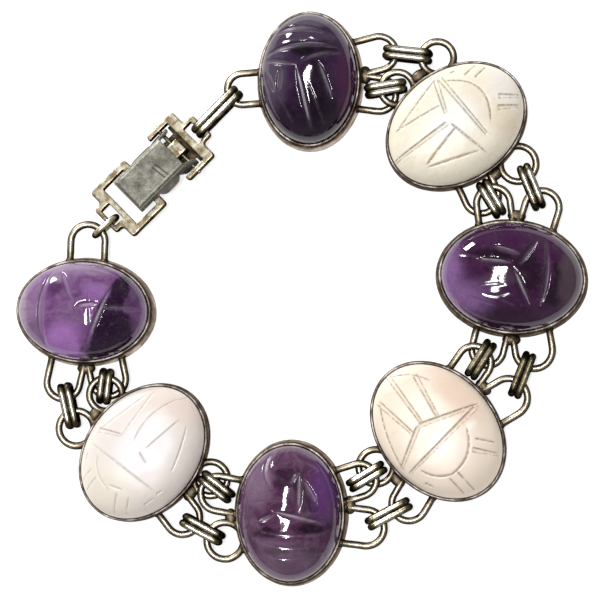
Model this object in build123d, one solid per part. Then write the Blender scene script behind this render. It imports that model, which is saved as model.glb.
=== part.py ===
from build123d import *
import os
from collections import namedtuple
from math import atan2, cos, degrees, hypot, radians, sin, tan

# A link bracelet of seven engraved oval stones, lying flat on the backs of its settings with the stones up.
# Millimetres. The origin is under the middle of the bracelet, at the surface that it lies on, with +Z up.

os.makedirs("parts", exist_ok=True)

# Driving dimensions

WIRE_D = 1.0  # round wire of the soldered loops
CROSSING_GAP = 0.12  # between two loops that cross over one another
LOOP_BURY = 1.2  # how far a loop's straight legs run on past the face of the wall
LEGGED_BEYOND = 1.95  # a loop that stands off further than this has straight legs

STRIP_WIDTH = 1.95  # double-ridged strip that the links are bent from
STRIP_THICKNESS = 0.65
STRIP_RIDGE_R = 0.5
LINK_PLAY = 0.12  # between a link and the loops inside it, above and below
LINK_BEND_R = 0.5  # inside the link's corners
LINK_LIFT = 0.08  # between the links and the surface
CLASP_LINK_LENGTH = 8.8

JUMP_WIRE_D = 0.85
JUMP_LENGTH = 4.8
JUMP_HEIGHT = 3.7

SEAT_HEIGHT = 0.6  # ledge that a stone sits on
SEAT_WIDTH = 1.1
STONE_GAP = 0.05  # between a stone and its setting
STONE_LEAN = 0.04  # how much wider a stone is at its seat than at its rim, as a share
STONE_FULLNESS = 0.69  # 0.55 would make the dome's outline a plain ellipse
GROOVE_DEPTH = 0.25
GROOVE_WIDTH = 0.32
TWIN_GROOVE_WIDTH = 0.5  # where two fine lines run side by side
SOLDER_R = 0.85
SOLDER_STANDOFF = 0.5

CLASP_PLACE = (-18.68, 18.88)
CLASP_HEIGHT = 1.9  # middle of the two frames above the surface
CLASP_TURN = 45.0
CLASP_ROLL = -10.0  # the side that faces the bracelet's middle lies higher
FRAME_THICKNESS = 1.1
FRAME_HALF_WIDTH = 4.46
FRAME_CORNER_R = 1.0
FRAME_EDGE_R = 0.2
CATCH_BODY = (-10.25, -3.6)  # from, to, along the clasp
CATCH_WINDOW = (-8.6, -4.7)
CATCH_WINDOW_HALF = 3.5
CATCH_STEP_END = -11.55
CATCH_STEP_HALF = 2.28
CATCH_EYE = (-10.9, -9.4)
CATCH_EYE_HALF = 1.5
HINGE_BODY = (0.7, 5.8)
HINGE_WINDOW_END = 4.2
HINGE_WINDOW_HALF = 3.72
HINGE_STEP_END = 7.5
HINGE_STEP_HALF = 2.0
HINGE_EYE = (5.2, 6.65)
HINGE_EYE_HALF = 1.45

PIN_X = 2.6
PIN_D = 0.6
PIN_PROUD = 0.15
PIN_FIT = 0.02  # radial, in the frame's arms and in the knuckle
LEVER_FIT = 0.05  # radial, so that the lever turns
LEVER_START = -6.95
LEVER_PLATE_END = 1.8
LEVER_TOP = 1.72
LEVER_TOP_HALF = 2.55
LEVER_FLARE = 28.0  # degrees that the lever's cheeks lean out
LEVER_UPRIGHT = 0.0  # height below which they are upright
LEVER_ROUND = 0.8
LEVER_NOSE_R = 0.55
LEVER_THICKNESS = 0.42
LEVER_SKIRT = 0.68  # underside of the cheeks over the catch frame
LEVER_EYE_R = 0.95
LEVER_REACH = 88.0  # degrees that the lever opens
CHEEK_MIDDLE = -1.5  # the cheeks' deep curve between the frames
CHEEK_HALF = 1.85
CHEEK_DROP = 1.1

TONGUE_HALF = 2.4
TONGUE_TOP = -0.68
TONGUE_THICKNESS = 0.45
TONGUE_END = 0.9
TONGUE_HOOK = (-5.6, -4.95)
TONGUE_HOOK_TOP = 0.35
KNUCKLE_HALF = 0.78
KNUCKLE_R = 1.05

# Each kind of stone: dome above the rim, rim height, and how far the wall stands outside it at rim and base

Kind = namedtuple("Kind", "dome rim_height rim_wall base_wall")
AMETHYST = Kind(4.4, 3.7, 0.4, 0.84)
QUARTZ = Kind(2.3, 3.3, 0.38, 0.56)

# Each stone: where it lies, how it is turned, and its half length and half width at the rim

Stone = namedtuple("Stone", "kind x y turn half_length half_width")
STONES = {
    1: Stone(AMETHYST, -29.67, -1.71, -2.0, 8.96, 6.75),
    2: Stone(QUARTZ, -21.39, -21.24, 52.2, 9.89, 7.58),
    3: Stone(AMETHYST, -1.02, -29.55, -90.0, 9.31, 7.10),
    4: Stone(QUARTZ, 19.25, -18.24, -48.5, 10.20, 7.72),
    5: Stone(AMETHYST, 29.43, 2.88, -5.0, 9.71, 7.37),
    6: Stone(QUARTZ, 21.80, 23.91, 34.4, 10.00, 7.58),
    7: Stone(AMETHYST, 1.53, 30.32, -90.0, 8.96, 6.61),
}

# The soldered loops of each setting, towards the setting before it (last) and the one after it: the place on the
# wall's ellipse in degrees, how far the loop's middle stands off the wall, its radius, and whether it lies under or
# over the loop that it crosses

Loop = namedtuple("Loop", "angle standoff radius level")
LOOPS = {
    1: {
        "single": Loop(89.8, 2.35, 2.38, "middle"),
        "inner": Loop(288.3, 2.30, 2.40, "low"),
        "outer": Loop(256.7, 2.80, 2.30, "low"),
    },
    2: {
        "last_inner": Loop(74.2, 1.36, 2.28, "high"),
        "last_outer": Loop(105.3, 1.69, 2.43, "high"),
        "inner": Loop(283.8, 1.72, 2.35, "low"),
        "outer": Loop(251.7, 2.13, 2.39, "low"),
    },
    3: {
        "last_inner": Loop(257.0, 2.53, 2.41, "high"),
        "last_outer": Loop(289.6, 1.81, 2.52, "high"),
        "inner": Loop(112.6, 2.52, 2.28, "high"),
        "outer": Loop(80.7, 2.82, 2.49, "high"),
    },
    4: {
        "last_inner": Loop(260.4, 1.58, 2.39, "low"),
        "last_outer": Loop(292.9, 2.15, 2.38, "low"),
        "inner": Loop(107.6, 2.21, 2.32, "high"),
        "outer": Loop(76.4, 2.38, 2.63, "high"),
    },
    5: {
        "last_inner": Loop(258.3, 2.33, 2.19, "low"),
        "last_outer": Loop(288.7, 2.15, 2.56, "low"),
        "inner": Loop(106.3, 2.31, 2.32, "high"),
        "outer": Loop(74.3, 2.31, 2.35, "high"),
    },
    6: {
        "last_inner": Loop(257.4, 2.17, 2.35, "low"),
        "last_outer": Loop(290.2, 1.66, 2.46, "low"),
        "inner": Loop(109.3, 1.27, 2.28, "high"),
        "outer": Loop(74.2, 1.49, 2.24, "high"),
    },
    7: {
        "last_inner": Loop(80.0, 2.50, 2.32, "low"),
        "last_outer": Loop(108.8, 2.81, 2.35, "low"),
        "single": Loop(276.1, 2.11, 2.17, "middle"),
    },
}

# The links of each gap, by the number of the setting before it: shift along and aside from halfway between the two
# loops' middles, turn from the line through them, length, and the small roll, pitch and lift that it lies with

Link = namedtuple("Link", "along aside turn length roll pitch lift")
LINKS = {
    (1, "inner"): Link(-0.03, -0.28, -0.8, 5.1, -1.8, -0.3, 0.01),
    (1, "outer"): Link(0.02, -0.12, -4.4, 6.5, 0.0, 0.0, 0.0),
    (2, "inner"): Link(0.21, 0.22, 22.7, 5.7, 0.0, 0.0, 0.03),
    (2, "outer"): Link(-0.15, -0.11, 0.0, 6.6, 0.0, 0.0, 0.0),
    (3, "inner"): Link(-0.38, -0.23, -8.4, 6.0, 0.0, 0.0, 0.0),
    (3, "outer"): Link(0.27, 0.16, -1.5, 6.9, 0.0, 0.0, 0.0),
    (4, "inner"): Link(-0.34, -0.31, 13.2, 6.0, -0.6, 0.0, 0.01),
    (4, "outer"): Link(-0.07, -0.19, 7.2, 6.7, 0.0, 0.0, 0.0),
    (5, "inner"): Link(-0.33, -0.43, -25.4, 5.7, 1.8, 0.0, 0.01),
    (5, "outer"): Link(-0.26, -0.06, -5.8, 6.7, 0.0, 0.0, 0.0),
    (6, "inner"): Link(0.23, -0.49, -6.6, 6.0, -0.9, 0.0, 0.05),
    (6, "outer"): Link(0.06, -0.08, -1.2, 6.9, 0.5, 4.4, 0.17),
}

# The long link and the jump ring: middle and direction

CLASP_LINK_PLACE = (-11.33, 25.98, 45.5)
JUMP_RING_PLACE = (-26.83, 10.15, 41.0)

# The engraved lines of each stone, as shares of its half length and half width: from x, y to x, y, how far the line
# bows to its left as a share of its length, and whether it is a pair of lines side by side

Cut = namedtuple("Cut", "x1 y1 x2 y2 bow twin")
CUTS = {
    1: [
        Cut(-0.46, 0.78, -0.48, -0.87, -0.11, False),
        Cut(-0.30, 0.75, -0.11, 0.17, 0.0, False),
        Cut(-0.06, 0.07, 0.27, 0.15, 0.0, False),
        Cut(0.46, 0.47, 0.09, -0.88, -0.02, False),
        Cut(0.38, 0.07, 0.97, 0.06, 0.0, False),
    ],
    2: [
        Cut(-0.11, 0.86, 0.64, 0.59, 0.0, False),
        Cut(0.75, 0.50, 0.02, 0.48, 0.0, False),
        Cut(-0.11, 0.86, 0.01, 0.51, 0.0, True),
        Cut(0.97, -0.01, 0.10, 0.25, -0.12, False),
        Cut(0.67, -0.18, 0.11, -0.03, 0.0, False),
        Cut(0.65, -0.37, 0.06, -0.64, 0.03, False),
        Cut(-0.32, 0.76, -0.31, -0.54, 0.0, False),
        Cut(-0.01, 0.02, -0.07, -0.18, 0.0, False),
        Cut(-0.42, 0.59, -0.68, 0.09, -0.12, False),
        Cut(-0.63, 0.10, -0.57, -0.13, 0.0, False),
        Cut(-0.81, 0.55, -0.61, 0.54, 0.0, False),
        Cut(-0.89, 0.38, -0.66, 0.38, 0.0, False),
        Cut(-0.66, -0.10, -0.91, -0.29, 0.0, False),
        Cut(-0.60, -0.32, -0.80, -0.46, 0.0, False),
        Cut(-0.33, -0.68, -0.24, -0.72, 0.0, False),
        Cut(-0.55, -0.62, -0.40, -0.68, 0.0, False),
        Cut(-0.55, 0.74, -0.46, 0.78, 0.0, False),
    ],
    3: [
        Cut(-0.04, -0.27, 0.14, 0.69, 0.0, True),
        Cut(0.10, -0.57, 0.00, -0.27, 0.0, False),
        Cut(-0.93, -0.25, -0.35, -0.27, -0.22, False),
        Cut(-0.60, 0.16, -0.45, 0.04, 0.0, False),
        Cut(-0.58, 0.21, -0.07, 0.20, 0.0, True),
        Cut(-0.51, 0.28, -0.14, 0.55, 0.0, True),
    ],
    4: [
        Cut(-0.96, -0.02, -0.24, -0.11, 0.0, True),
        Cut(-0.74, 0.35, -0.16, 0.18, 0.0, True),
        Cut(-0.78, -0.45, -0.21, -0.36, 0.0, True),
        Cut(-0.75, -0.48, 0.06, -0.90, -0.05, False),
        Cut(-0.21, -0.14, 0.08, 0.81, 0.0, True),
        Cut(-0.21, -0.22, 0.05, -0.89, 0.0, True),
        Cut(0.10, 0.71, 0.18, -0.80, 0.0, True),
        Cut(-0.95, 0.02, -0.60, 0.48, 0.10, False),
        Cut(0.25, 0.41, 0.56, -0.31, 0.17, False),
        Cut(0.56, -0.31, 0.26, -0.67, 0.12, False),
        Cut(0.41, 0.42, 0.61, 0.62, 0.0, False),
        Cut(0.50, 0.26, 0.75, 0.51, 0.0, True),
        Cut(0.58, -0.39, 0.85, -0.38, 0.0, False),
        Cut(0.59, -0.21, 0.90, -0.20, 0.0, False),
        Cut(0.41, -0.77, 0.52, -0.71, 0.0, False),
    ],
    5: [
        Cut(0.42, 0.70, 0.42, -0.48, 0.07, True),
        Cut(0.01, 0.13, 0.27, -0.49, 0.0, False),
        Cut(0.09, 0.22, 0.31, 0.69, 0.01, False),
        Cut(-0.30, 0.52, 0.08, 0.42, 0.0, False),
        Cut(-0.49, 0.25, -0.03, 0.25, 0.0, False),
    ],
    6: [
        Cut(0.09, 0.87, -0.71, 0.50, 0.0, False),
        Cut(-0.71, 0.50, -0.07, 0.44, 0.0, False),
        Cut(0.10, 0.85, -0.03, 0.27, 0.0, True),
        Cut(0.17, 0.80, 0.26, -0.42, 0.0, True),
        Cut(-0.13, 0.09, -0.95, 0.05, 0.0, True),
        Cut(-0.05, 0.02, 0.11, -0.71, 0.0, False),
        Cut(-0.06, -0.07, -0.63, -0.31, 0.0, False),
        Cut(-0.63, -0.38, 0.02, -0.63, 0.0, False),
        Cut(0.25, 0.72, 0.43, -0.28, 0.26, False),
        Cut(0.48, 0.64, 0.66, 0.68, 0.0, False),
        Cut(0.58, 0.50, 0.78, 0.55, 0.0, False),
        Cut(0.70, -0.03, 0.91, -0.22, 0.0, True),
        Cut(0.60, -0.19, 0.83, -0.37, 0.0, True),
        Cut(0.33, 0.82, 0.40, 0.81, 0.0, False),
    ],
    7: [
        Cut(-0.64, -0.70, -0.66, 0.35, 0.12, False),
        Cut(-0.32, -0.90, -0.44, 0.64, 0.09, False),
        Cut(-0.26, -0.92, -0.18, -0.24, 0.0, False),
        Cut(-0.24, -0.10, -0.36, 0.67, 0.06, False),
        Cut(-0.11, -0.21, 0.80, 0.07, 0.0, True),
        Cut(-0.08, -0.88, 0.25, -0.69, 0.0, False),
        Cut(-0.12, -0.57, 0.24, -0.60, 0.0, False),
        Cut(-0.20, 0.23, 0.35, 0.50, 0.0, True),
    ],
}

# Sizes that follow

WIRE_R = WIRE_D / 2
LINK_ROOM = 2 * WIRE_D + CROSSING_GAP + 2 * LINK_PLAY  # height inside a link
LINK_HEIGHT = LINK_ROOM + 2 * STRIP_THICKNESS
CHAIN_HEIGHT = LINK_LIFT + LINK_HEIGHT / 2
LEVELS = {
    "low": CHAIN_HEIGHT - (WIRE_D + CROSSING_GAP) / 2,
    "middle": CHAIN_HEIGHT,
    "high": CHAIN_HEIGHT + (WIRE_D + CROSSING_GAP) / 2,
}
CUT_TOP = max(kind.rim_height + kind.dome for kind in (AMETHYST, QUARTZ)) + 1.0
FRAME_HALF = FRAME_THICKNESS / 2
PIN_LENGTH = 2 * (FRAME_HALF_WIDTH + PIN_PROUD)
TONGUE_BOTTOM = TONGUE_TOP - TONGUE_THICKNESS


def seat(number):
    """The frame that a stone and its setting share: X along the stone, at the surface that the setting lies on."""
    stone = STONES[number]
    return Location((stone.x, stone.y, 0), (0, 0, stone.turn))


# Stones


def dome(kind, inset=0.0):
    """A stone of half length and half width 1: leaning sides on a flat base under a full dome."""
    base = SEAT_HEIGHT + inset
    top = kind.rim_height + kind.dome - inset
    width = 1 + STONE_LEAN
    side = Line((width, 0, base), (1, 0, kind.rim_height))
    full = STONE_FULLNESS
    controls = [
        (1, 0, kind.rim_height),
        (1, 0, kind.rim_height + full * (top - kind.rim_height)),
        (full, 0, top),
        (0, 0, top),
    ]
    crown = Bezier(*[Vector(*point) for point in controls])
    outline = Wire([Line((0, 0, base), (width, 0, base)), side, crown, Line((0, 0, top), (0, 0, base))])
    return revolve(Face(outline), Axis.Z, 360)


def cut_line(stone, cut):
    """The middle line of one engraved line, seen from above, in the stone's own frame."""
    start = Vector(cut.x1 * stone.half_length, cut.y1 * stone.half_width)
    end = Vector(cut.x2 * stone.half_length, cut.y2 * stone.half_width)
    if cut.bow == 0:
        return Line(start, end)
    run = end - start
    middle = (start + end) * 0.5 + Vector(-run.Y, run.X) * cut.bow
    return ThreePointArc(start, middle, end)


def make_stone(number):
    stone = STONES[number]
    whole = scale(dome(stone.kind), by=(stone.half_length, stone.half_width, 1))
    inner_length = stone.half_length - GROOVE_DEPTH
    inner_width = stone.half_width - GROOVE_DEPTH
    core = scale(dome(stone.kind, GROOVE_DEPTH), by=(inner_length, inner_width, 1))
    for cut in CUTS[number]:
        width = TWIN_GROOVE_WIDTH if cut.twin else GROOVE_WIDTH
        line = trace(cut_line(stone, cut), width)
        groove = extrude(Plane.XY.offset(stone.kind.rim_height) * line, CUT_TOP - stone.kind.rim_height)
        whole -= groove - core
    return seat(number) * whole


# Settings


def oval_wall(low, high):
    """A solid between two ovals, each given as half length, half width and height."""
    ovals = [Plane.XY.offset(height) * Ellipse(length, width) for length, width, height in (low, high)]
    return loft(ovals, ruled=True)


def loop_place(number, loop):
    """A loop's frame in its setting's: middle at the origin, X straight out from the wall."""
    stone = STONES[number]
    wall = (stone.kind.rim_wall + stone.kind.base_wall) / 2
    length = stone.half_length + wall
    width = stone.half_width + wall
    angle = radians(loop.angle)
    out = Vector(cos(angle) / length, sin(angle) / width).normalized()
    foot = Vector(length * cos(angle), width * sin(angle))
    middle = foot + out * loop.standoff
    return Location((middle.X, middle.Y, LEVELS[loop.level]), (0, 0, degrees(atan2(out.Y, out.X))))


def make_loop(number, loop):
    place = loop_place(number, loop)
    if loop.standoff < LEGGED_BEYOND:
        return place * Torus(loop.radius, WIRE_R)
    foot = loop.standoff + LOOP_BURY
    first_leg = Line((-foot, -loop.radius, 0), (0, -loop.radius, 0))
    bend = ThreePointArc((0, -loop.radius, 0), (loop.radius, 0, 0), (0, loop.radius, 0))
    last_leg = Line((0, loop.radius, 0), (-foot, loop.radius, 0))
    wire_end = Plane(first_leg @ 0, x_dir=(0, 1, 0), z_dir=(1, 0, 0)) * Circle(WIRE_R)
    return place * sweep(wire_end, Wire([first_leg, bend, last_leg]))


def solder(number, pair):
    """The solder between two loops of one side, against the wall."""
    stone = STONES[number]
    first, second = (LOOPS[number][name] for name in pair)
    angle = (first.angle + second.angle) / 2
    place = loop_place(number, Loop(angle, SOLDER_STANDOFF, 0, first.level))
    return place * Rot(0, 90, 0) * Sphere(SOLDER_R)


def make_setting(number):
    stone = STONES[number]
    kind = stone.kind
    base = (stone.half_length + kind.base_wall, stone.half_width + kind.base_wall, 0)
    rim = (stone.half_length + kind.rim_wall, stone.half_width + kind.rim_wall, kind.rim_height)
    solid = oval_wall(base, rim)
    for loop in LOOPS[number].values():
        solid += make_loop(number, loop)
    for pair in (("last_inner", "last_outer"), ("inner", "outer")):
        if pair[0] in LOOPS[number]:
            solid += solder(number, pair)
    low_length = stone.half_length * (1 + STONE_LEAN) + STONE_GAP
    low_width = stone.half_width * (1 + STONE_LEAN) + STONE_GAP
    top_length = stone.half_length + STONE_GAP
    top_width = stone.half_width + STONE_GAP
    solid -= oval_wall((low_length, low_width, SEAT_HEIGHT), (top_length, top_width, kind.rim_height))
    solid -= extrude(Ellipse(low_length - SEAT_WIDTH, low_width - SEAT_WIDTH), SEAT_HEIGHT)
    return seat(number) * solid


# Links


def strip_section():
    """Across the strip: two half-round ridges side by side, flat on the inside. X across, Y outwards."""
    aside = STRIP_WIDTH / 2 - STRIP_RIDGE_R
    rise = STRIP_THICKNESS - STRIP_RIDGE_R
    ridges = Pos(aside, rise) * Circle(STRIP_RIDGE_R) + Pos(-aside, rise) * Circle(STRIP_RIDGE_R)
    keep = Pos(0, STRIP_THICKNESS / 2) * Rectangle(STRIP_WIDTH, STRIP_THICKNESS)
    return ridges & keep


def make_link(length):
    """An upright link round the origin, long in X, high in Z, made of four straights and four bends."""
    half_x = length / 2 - STRIP_THICKNESS - LINK_BEND_R
    half_z = LINK_ROOM / 2 - LINK_BEND_R
    section = strip_section()
    solid = None
    for turn, run, rise in ((0, half_x, half_z), (90, half_z, half_x), (180, half_x, half_z), (270, half_z, half_x)):
        start = Plane((-run, 0, rise + LINK_BEND_R), x_dir=(0, 1, 0), z_dir=(1, 0, 0))
        straight = extrude(start * section, 2 * run)
        bend_face = Plane((run, 0, rise + LINK_BEND_R), x_dir=(0, 1, 0), z_dir=(1, 0, 0)) * section
        bend = revolve(bend_face, Axis((run, 0, rise), (0, 1, 0)), 90)
        piece = Rot(0, turn, 0) * (straight + bend)
        solid = piece if solid is None else solid + piece
    return solid


def gap_link(before, side):
    """A link round the two loops that face each other in the gap after a setting."""
    row = LINKS[(before, side)]
    ends = []
    for number, name in ((before, side), (before + 1, "last_" + side)):
        ends.append((seat(number) * loop_place(number, LOOPS[number][name])).position)
    start, end = ends
    run = end - start
    direction = degrees(atan2(run.Y, run.X))
    middle = (start + end) * 0.5
    place = Location((middle.X, middle.Y, CHAIN_HEIGHT + row.lift), (0, 0, direction))
    tilt = Rot(0, row.pitch, 0) * Rot(row.roll, 0, 0)
    return place * Pos(row.along, row.aside, 0) * Rot(0, 0, row.turn) * tilt * make_link(row.length)


def make_jump_ring():
    """A plain wire ring, upright, with rounded ends."""
    slot = Plane.XZ * SlotOverall(JUMP_LENGTH - JUMP_WIRE_D, JUMP_HEIGHT - JUMP_WIRE_D)
    middle_line = slot.wire()
    wire_end = Plane(middle_line @ 0, z_dir=middle_line % 0) * Circle(JUMP_WIRE_D / 2)
    return sweep(wire_end, middle_line)


# Clasp, in its own frame: X along it towards the hinge, Y across, Z up from the middle of the two frames


def span(x_range, half, bottom, top):
    """A box from an X range, a half width and two heights."""
    width = x_range[1] - x_range[0]
    middle = (x_range[0] + x_range[1]) / 2
    return Pos(middle, 0, (bottom + top) / 2) * Box(width, 2 * half, top - bottom)


def stepped_plate(body, step, step_half):
    """The flat outline of a frame: its body and the narrower step at its end, with rounded corners."""
    wide = Pos((body[0] + body[1]) / 2, 0) * Rectangle(body[1] - body[0], 2 * FRAME_HALF_WIDTH)
    narrow = Pos((step[0] + step[1]) / 2, 0) * Rectangle(step[1] - step[0], 2 * step_half)
    outline = wide + narrow
    return fillet(outline.vertices(), FRAME_CORNER_R / 2)


def make_catch_frame():
    outline = stepped_plate(CATCH_BODY, (CATCH_STEP_END, CATCH_BODY[0]), CATCH_STEP_HALF)
    plate = Pos(0, 0, -FRAME_HALF) * extrude(outline, FRAME_THICKNESS)
    plate = fillet(plate.faces().filter_by(Axis.Z).edges(), FRAME_EDGE_R)
    plate -= span(CATCH_WINDOW, CATCH_WINDOW_HALF, -FRAME_THICKNESS, FRAME_THICKNESS)
    plate -= span(CATCH_EYE, CATCH_EYE_HALF, -FRAME_THICKNESS, FRAME_THICKNESS)
    return plate


def make_hinge_frame():
    outline = stepped_plate(HINGE_BODY, (HINGE_BODY[1], HINGE_STEP_END), HINGE_STEP_HALF)
    plate = Pos(0, 0, -FRAME_HALF) * extrude(outline, FRAME_THICKNESS)
    plate = fillet(plate.faces().filter_by(Axis.Z).edges(), FRAME_EDGE_R)
    window = (HINGE_BODY[0] - 1, HINGE_WINDOW_END)
    plate -= span(window, HINGE_WINDOW_HALF, -FRAME_THICKNESS, FRAME_THICKNESS)
    plate -= span(HINGE_EYE, HINGE_EYE_HALF, -FRAME_THICKNESS, FRAME_THICKNESS)
    plate -= across(PIN_D / 2 + PIN_FIT, FRAME_HALF_WIDTH + 1)
    return plate


def across(radius, half, x=PIN_X):
    """A round bar across the clasp, through the pin's axis."""
    return Pos(x, 0, 0) * Rot(90, 0, 0) * Cylinder(radius, 2 * half)


def make_pin():
    return across(PIN_D / 2, PIN_LENGTH / 2)


def make_tongue():
    strip = span((TONGUE_HOOK[0], TONGUE_END), TONGUE_HALF, TONGUE_BOTTOM, TONGUE_TOP)
    neck = span((TONGUE_END, PIN_X), KNUCKLE_HALF, TONGUE_BOTTOM, TONGUE_TOP)
    hook = span(TONGUE_HOOK, TONGUE_HALF, TONGUE_BOTTOM, TONGUE_HOOK_TOP)
    solid = strip + neck + hook + across(KNUCKLE_R, KNUCKLE_HALF)
    return solid - across(PIN_D / 2 + PIN_FIT, KNUCKLE_HALF + 1)


def lever_section(inset):
    """Across the lever: flat top, cheeks that lean out and then stand upright."""
    lean = tan(radians(LEVER_FLARE))
    bottom = -LEVER_TOP
    top = LEVER_TOP - inset
    half = LEVER_TOP_HALF - inset / cos(radians(LEVER_FLARE)) + inset * lean
    foot = half + (top - LEVER_UPRIGHT) * lean
    points = [(-foot, bottom), (-foot, LEVER_UPRIGHT), (-half, top), (half, top), (foot, LEVER_UPRIGHT), (foot, bottom)]
    shape = Plane.YZ * make_face(Polyline(*points, close=True))
    corners = shape.vertices().sort_by(Axis.Z)[4:]
    return fillet(corners, LEVER_ROUND - inset)


def lever_side():
    """The lever's cheeks seen from the side, as a solid right across the clasp."""
    width = 2 * FRAME_HALF_WIDTH
    plate = span((LEVER_START, LEVER_PLATE_END), FRAME_HALF_WIDTH, LEVER_SKIRT, LEVER_TOP)
    nose = plate.edges().filter_by(Axis.Y).sort_by(Axis.X)[:2].sort_by(Axis.Z)[-1]
    plate = fillet(nose, LEVER_NOSE_R)
    drop_r = (CHEEK_HALF**2 + CHEEK_DROP**2) / (2 * CHEEK_DROP)
    drop = Pos(CHEEK_MIDDLE, 0, LEVER_SKIRT - CHEEK_DROP + drop_r) * Rot(90, 0, 0) * Cylinder(drop_r, width)
    drop &= span((CHEEK_MIDDLE - CHEEK_HALF, CHEEK_MIDDLE + CHEEK_HALF), FRAME_HALF_WIDTH, -LEVER_TOP, LEVER_SKIRT)
    corners = [
        (CHEEK_MIDDLE + CHEEK_HALF, LEVER_SKIRT),
        (PIN_X - LEVER_EYE_R * sin(radians(30)), -LEVER_EYE_R * cos(radians(30))),
        (PIN_X + LEVER_EYE_R * sin(radians(30)), LEVER_EYE_R * cos(radians(30))),
        (LEVER_PLATE_END, LEVER_TOP - LEVER_THICKNESS),
        (LEVER_PLATE_END - LEVER_THICKNESS, LEVER_TOP - LEVER_THICKNESS),
        (CHEEK_MIDDLE + CHEEK_HALF, LEVER_SKIRT + LEVER_THICKNESS),
    ]
    web_face = make_face(Polyline(*[(x, 0, z) for x, z in corners], close=True))
    web = extrude(web_face, width / 2, dir=(0, 1, 0), both=True)
    return plate + drop + web + across(LEVER_EYE_R, FRAME_HALF_WIDTH)


def make_lever():
    run = (LEVER_START - 1, PIN_X + LEVER_EYE_R + 1)
    outer = Pos(run[0], 0, 0) * extrude(lever_section(0.0), run[1] - run[0])
    inside_start = LEVER_START + LEVER_THICKNESS
    inside = Pos(inside_start, 0, 0) * extrude(lever_section(LEVER_THICKNESS), run[1] - inside_start)
    solid = (outer & lever_side()) - inside
    return solid - across(PIN_D / 2 + LEVER_FIT, FRAME_HALF_WIDTH + 1)


# The whole bracelet


def build_nodes():
    """Every node by name, as the bracelet lies in the plan of the stones' places."""
    nodes = {}
    for number in STONES:
        nodes[f"stone_{number}"] = make_stone(number)
        nodes[f"setting_{number}"] = make_setting(number)
    for before, side in LINKS:
        nodes[f"link_{side}_{before}{before + 1}"] = gap_link(before, side)
    x, y, direction = CLASP_LINK_PLACE
    nodes["clasp_link"] = Location((x, y, CHAIN_HEIGHT), (0, 0, direction)) * make_link(CLASP_LINK_LENGTH)
    x, y, direction = JUMP_RING_PLACE
    nodes["jump_ring"] = Location((x, y, CHAIN_HEIGHT), (0, 0, direction)) * make_jump_ring()
    clasp = Location((*CLASP_PLACE, CLASP_HEIGHT), (0, 0, CLASP_TURN)) * Rot(CLASP_ROLL, 0, 0)
    nodes["clasp_catch_frame"] = clasp * make_catch_frame()
    nodes["clasp_hinge_frame"] = clasp * make_hinge_frame()
    nodes["clasp_pin"] = clasp * make_pin()
    nodes["clasp_tongue"] = clasp * make_tongue()
    nodes["clasp_lever"] = clasp * make_lever()
    return nodes


def centred(nodes):
    """The same nodes with the middle of their common box over the origin."""
    boxes = [shape.bounding_box() for shape in nodes.values()]
    low_x, high_x = min(box.min.X for box in boxes), max(box.max.X for box in boxes)
    low_y, high_y = min(box.min.Y for box in boxes), max(box.max.Y for box in boxes)
    shift = Pos(-(low_x + high_x) / 2, -(low_y + high_y) / 2, 0)
    return {name: shift * shape for name, shape in nodes.items()}, shift


nodes, shift = centred(build_nodes())
for name, shape in nodes.items():
    export_step(shape, f"parts/{name}.step")

pin = shift * Location((*CLASP_PLACE, CLASP_HEIGHT), (0, 0, CLASP_TURN)) * Rot(CLASP_ROLL, 0, 0) * Pos(PIN_X, 0, 0)
print("moved by", shift.position)
print("lever pivot", pin.position, "axis", pin.y_axis.direction, "opens by", LEVER_REACH)
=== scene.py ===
from collections import namedtuple
from functools import partial
from math import atan2, cos, hypot, pi, radians, sin, sqrt

import bmesh
import bpy
import numpy as np
from mathutils import Matrix, Vector, noise


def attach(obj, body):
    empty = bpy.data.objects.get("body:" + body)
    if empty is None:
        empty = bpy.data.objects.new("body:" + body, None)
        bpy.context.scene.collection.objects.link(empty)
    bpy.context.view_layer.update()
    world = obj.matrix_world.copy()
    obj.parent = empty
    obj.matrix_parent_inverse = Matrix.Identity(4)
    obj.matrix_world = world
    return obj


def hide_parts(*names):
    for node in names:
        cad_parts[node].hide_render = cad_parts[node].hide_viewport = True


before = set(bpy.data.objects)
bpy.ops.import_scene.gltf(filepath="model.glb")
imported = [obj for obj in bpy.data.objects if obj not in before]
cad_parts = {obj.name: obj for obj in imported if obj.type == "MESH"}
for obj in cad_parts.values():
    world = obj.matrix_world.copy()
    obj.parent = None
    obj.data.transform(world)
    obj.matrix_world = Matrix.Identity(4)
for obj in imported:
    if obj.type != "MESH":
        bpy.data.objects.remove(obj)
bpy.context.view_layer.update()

# A silver link bracelet of seven engraved oval stones. Sizes are in millimetres and are turned to metres when
# a piece is put into the scene. The plan of the stones is moved as a whole so that it lies over the origin.

MM = 0.001
PLAN_SHIFT = Vector((-0.248286, -0.21, 0))

# The stones, their settings' loops and the links, as in the part

Kind = namedtuple("Kind", "dome rim_height rim_wall base_wall slot")
AMETHYST = Kind(4.4, 3.7, 0.4, 0.84, "amethyst")
QUARTZ = Kind(2.3, 3.3, 0.38, 0.56, "quartz")

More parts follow.
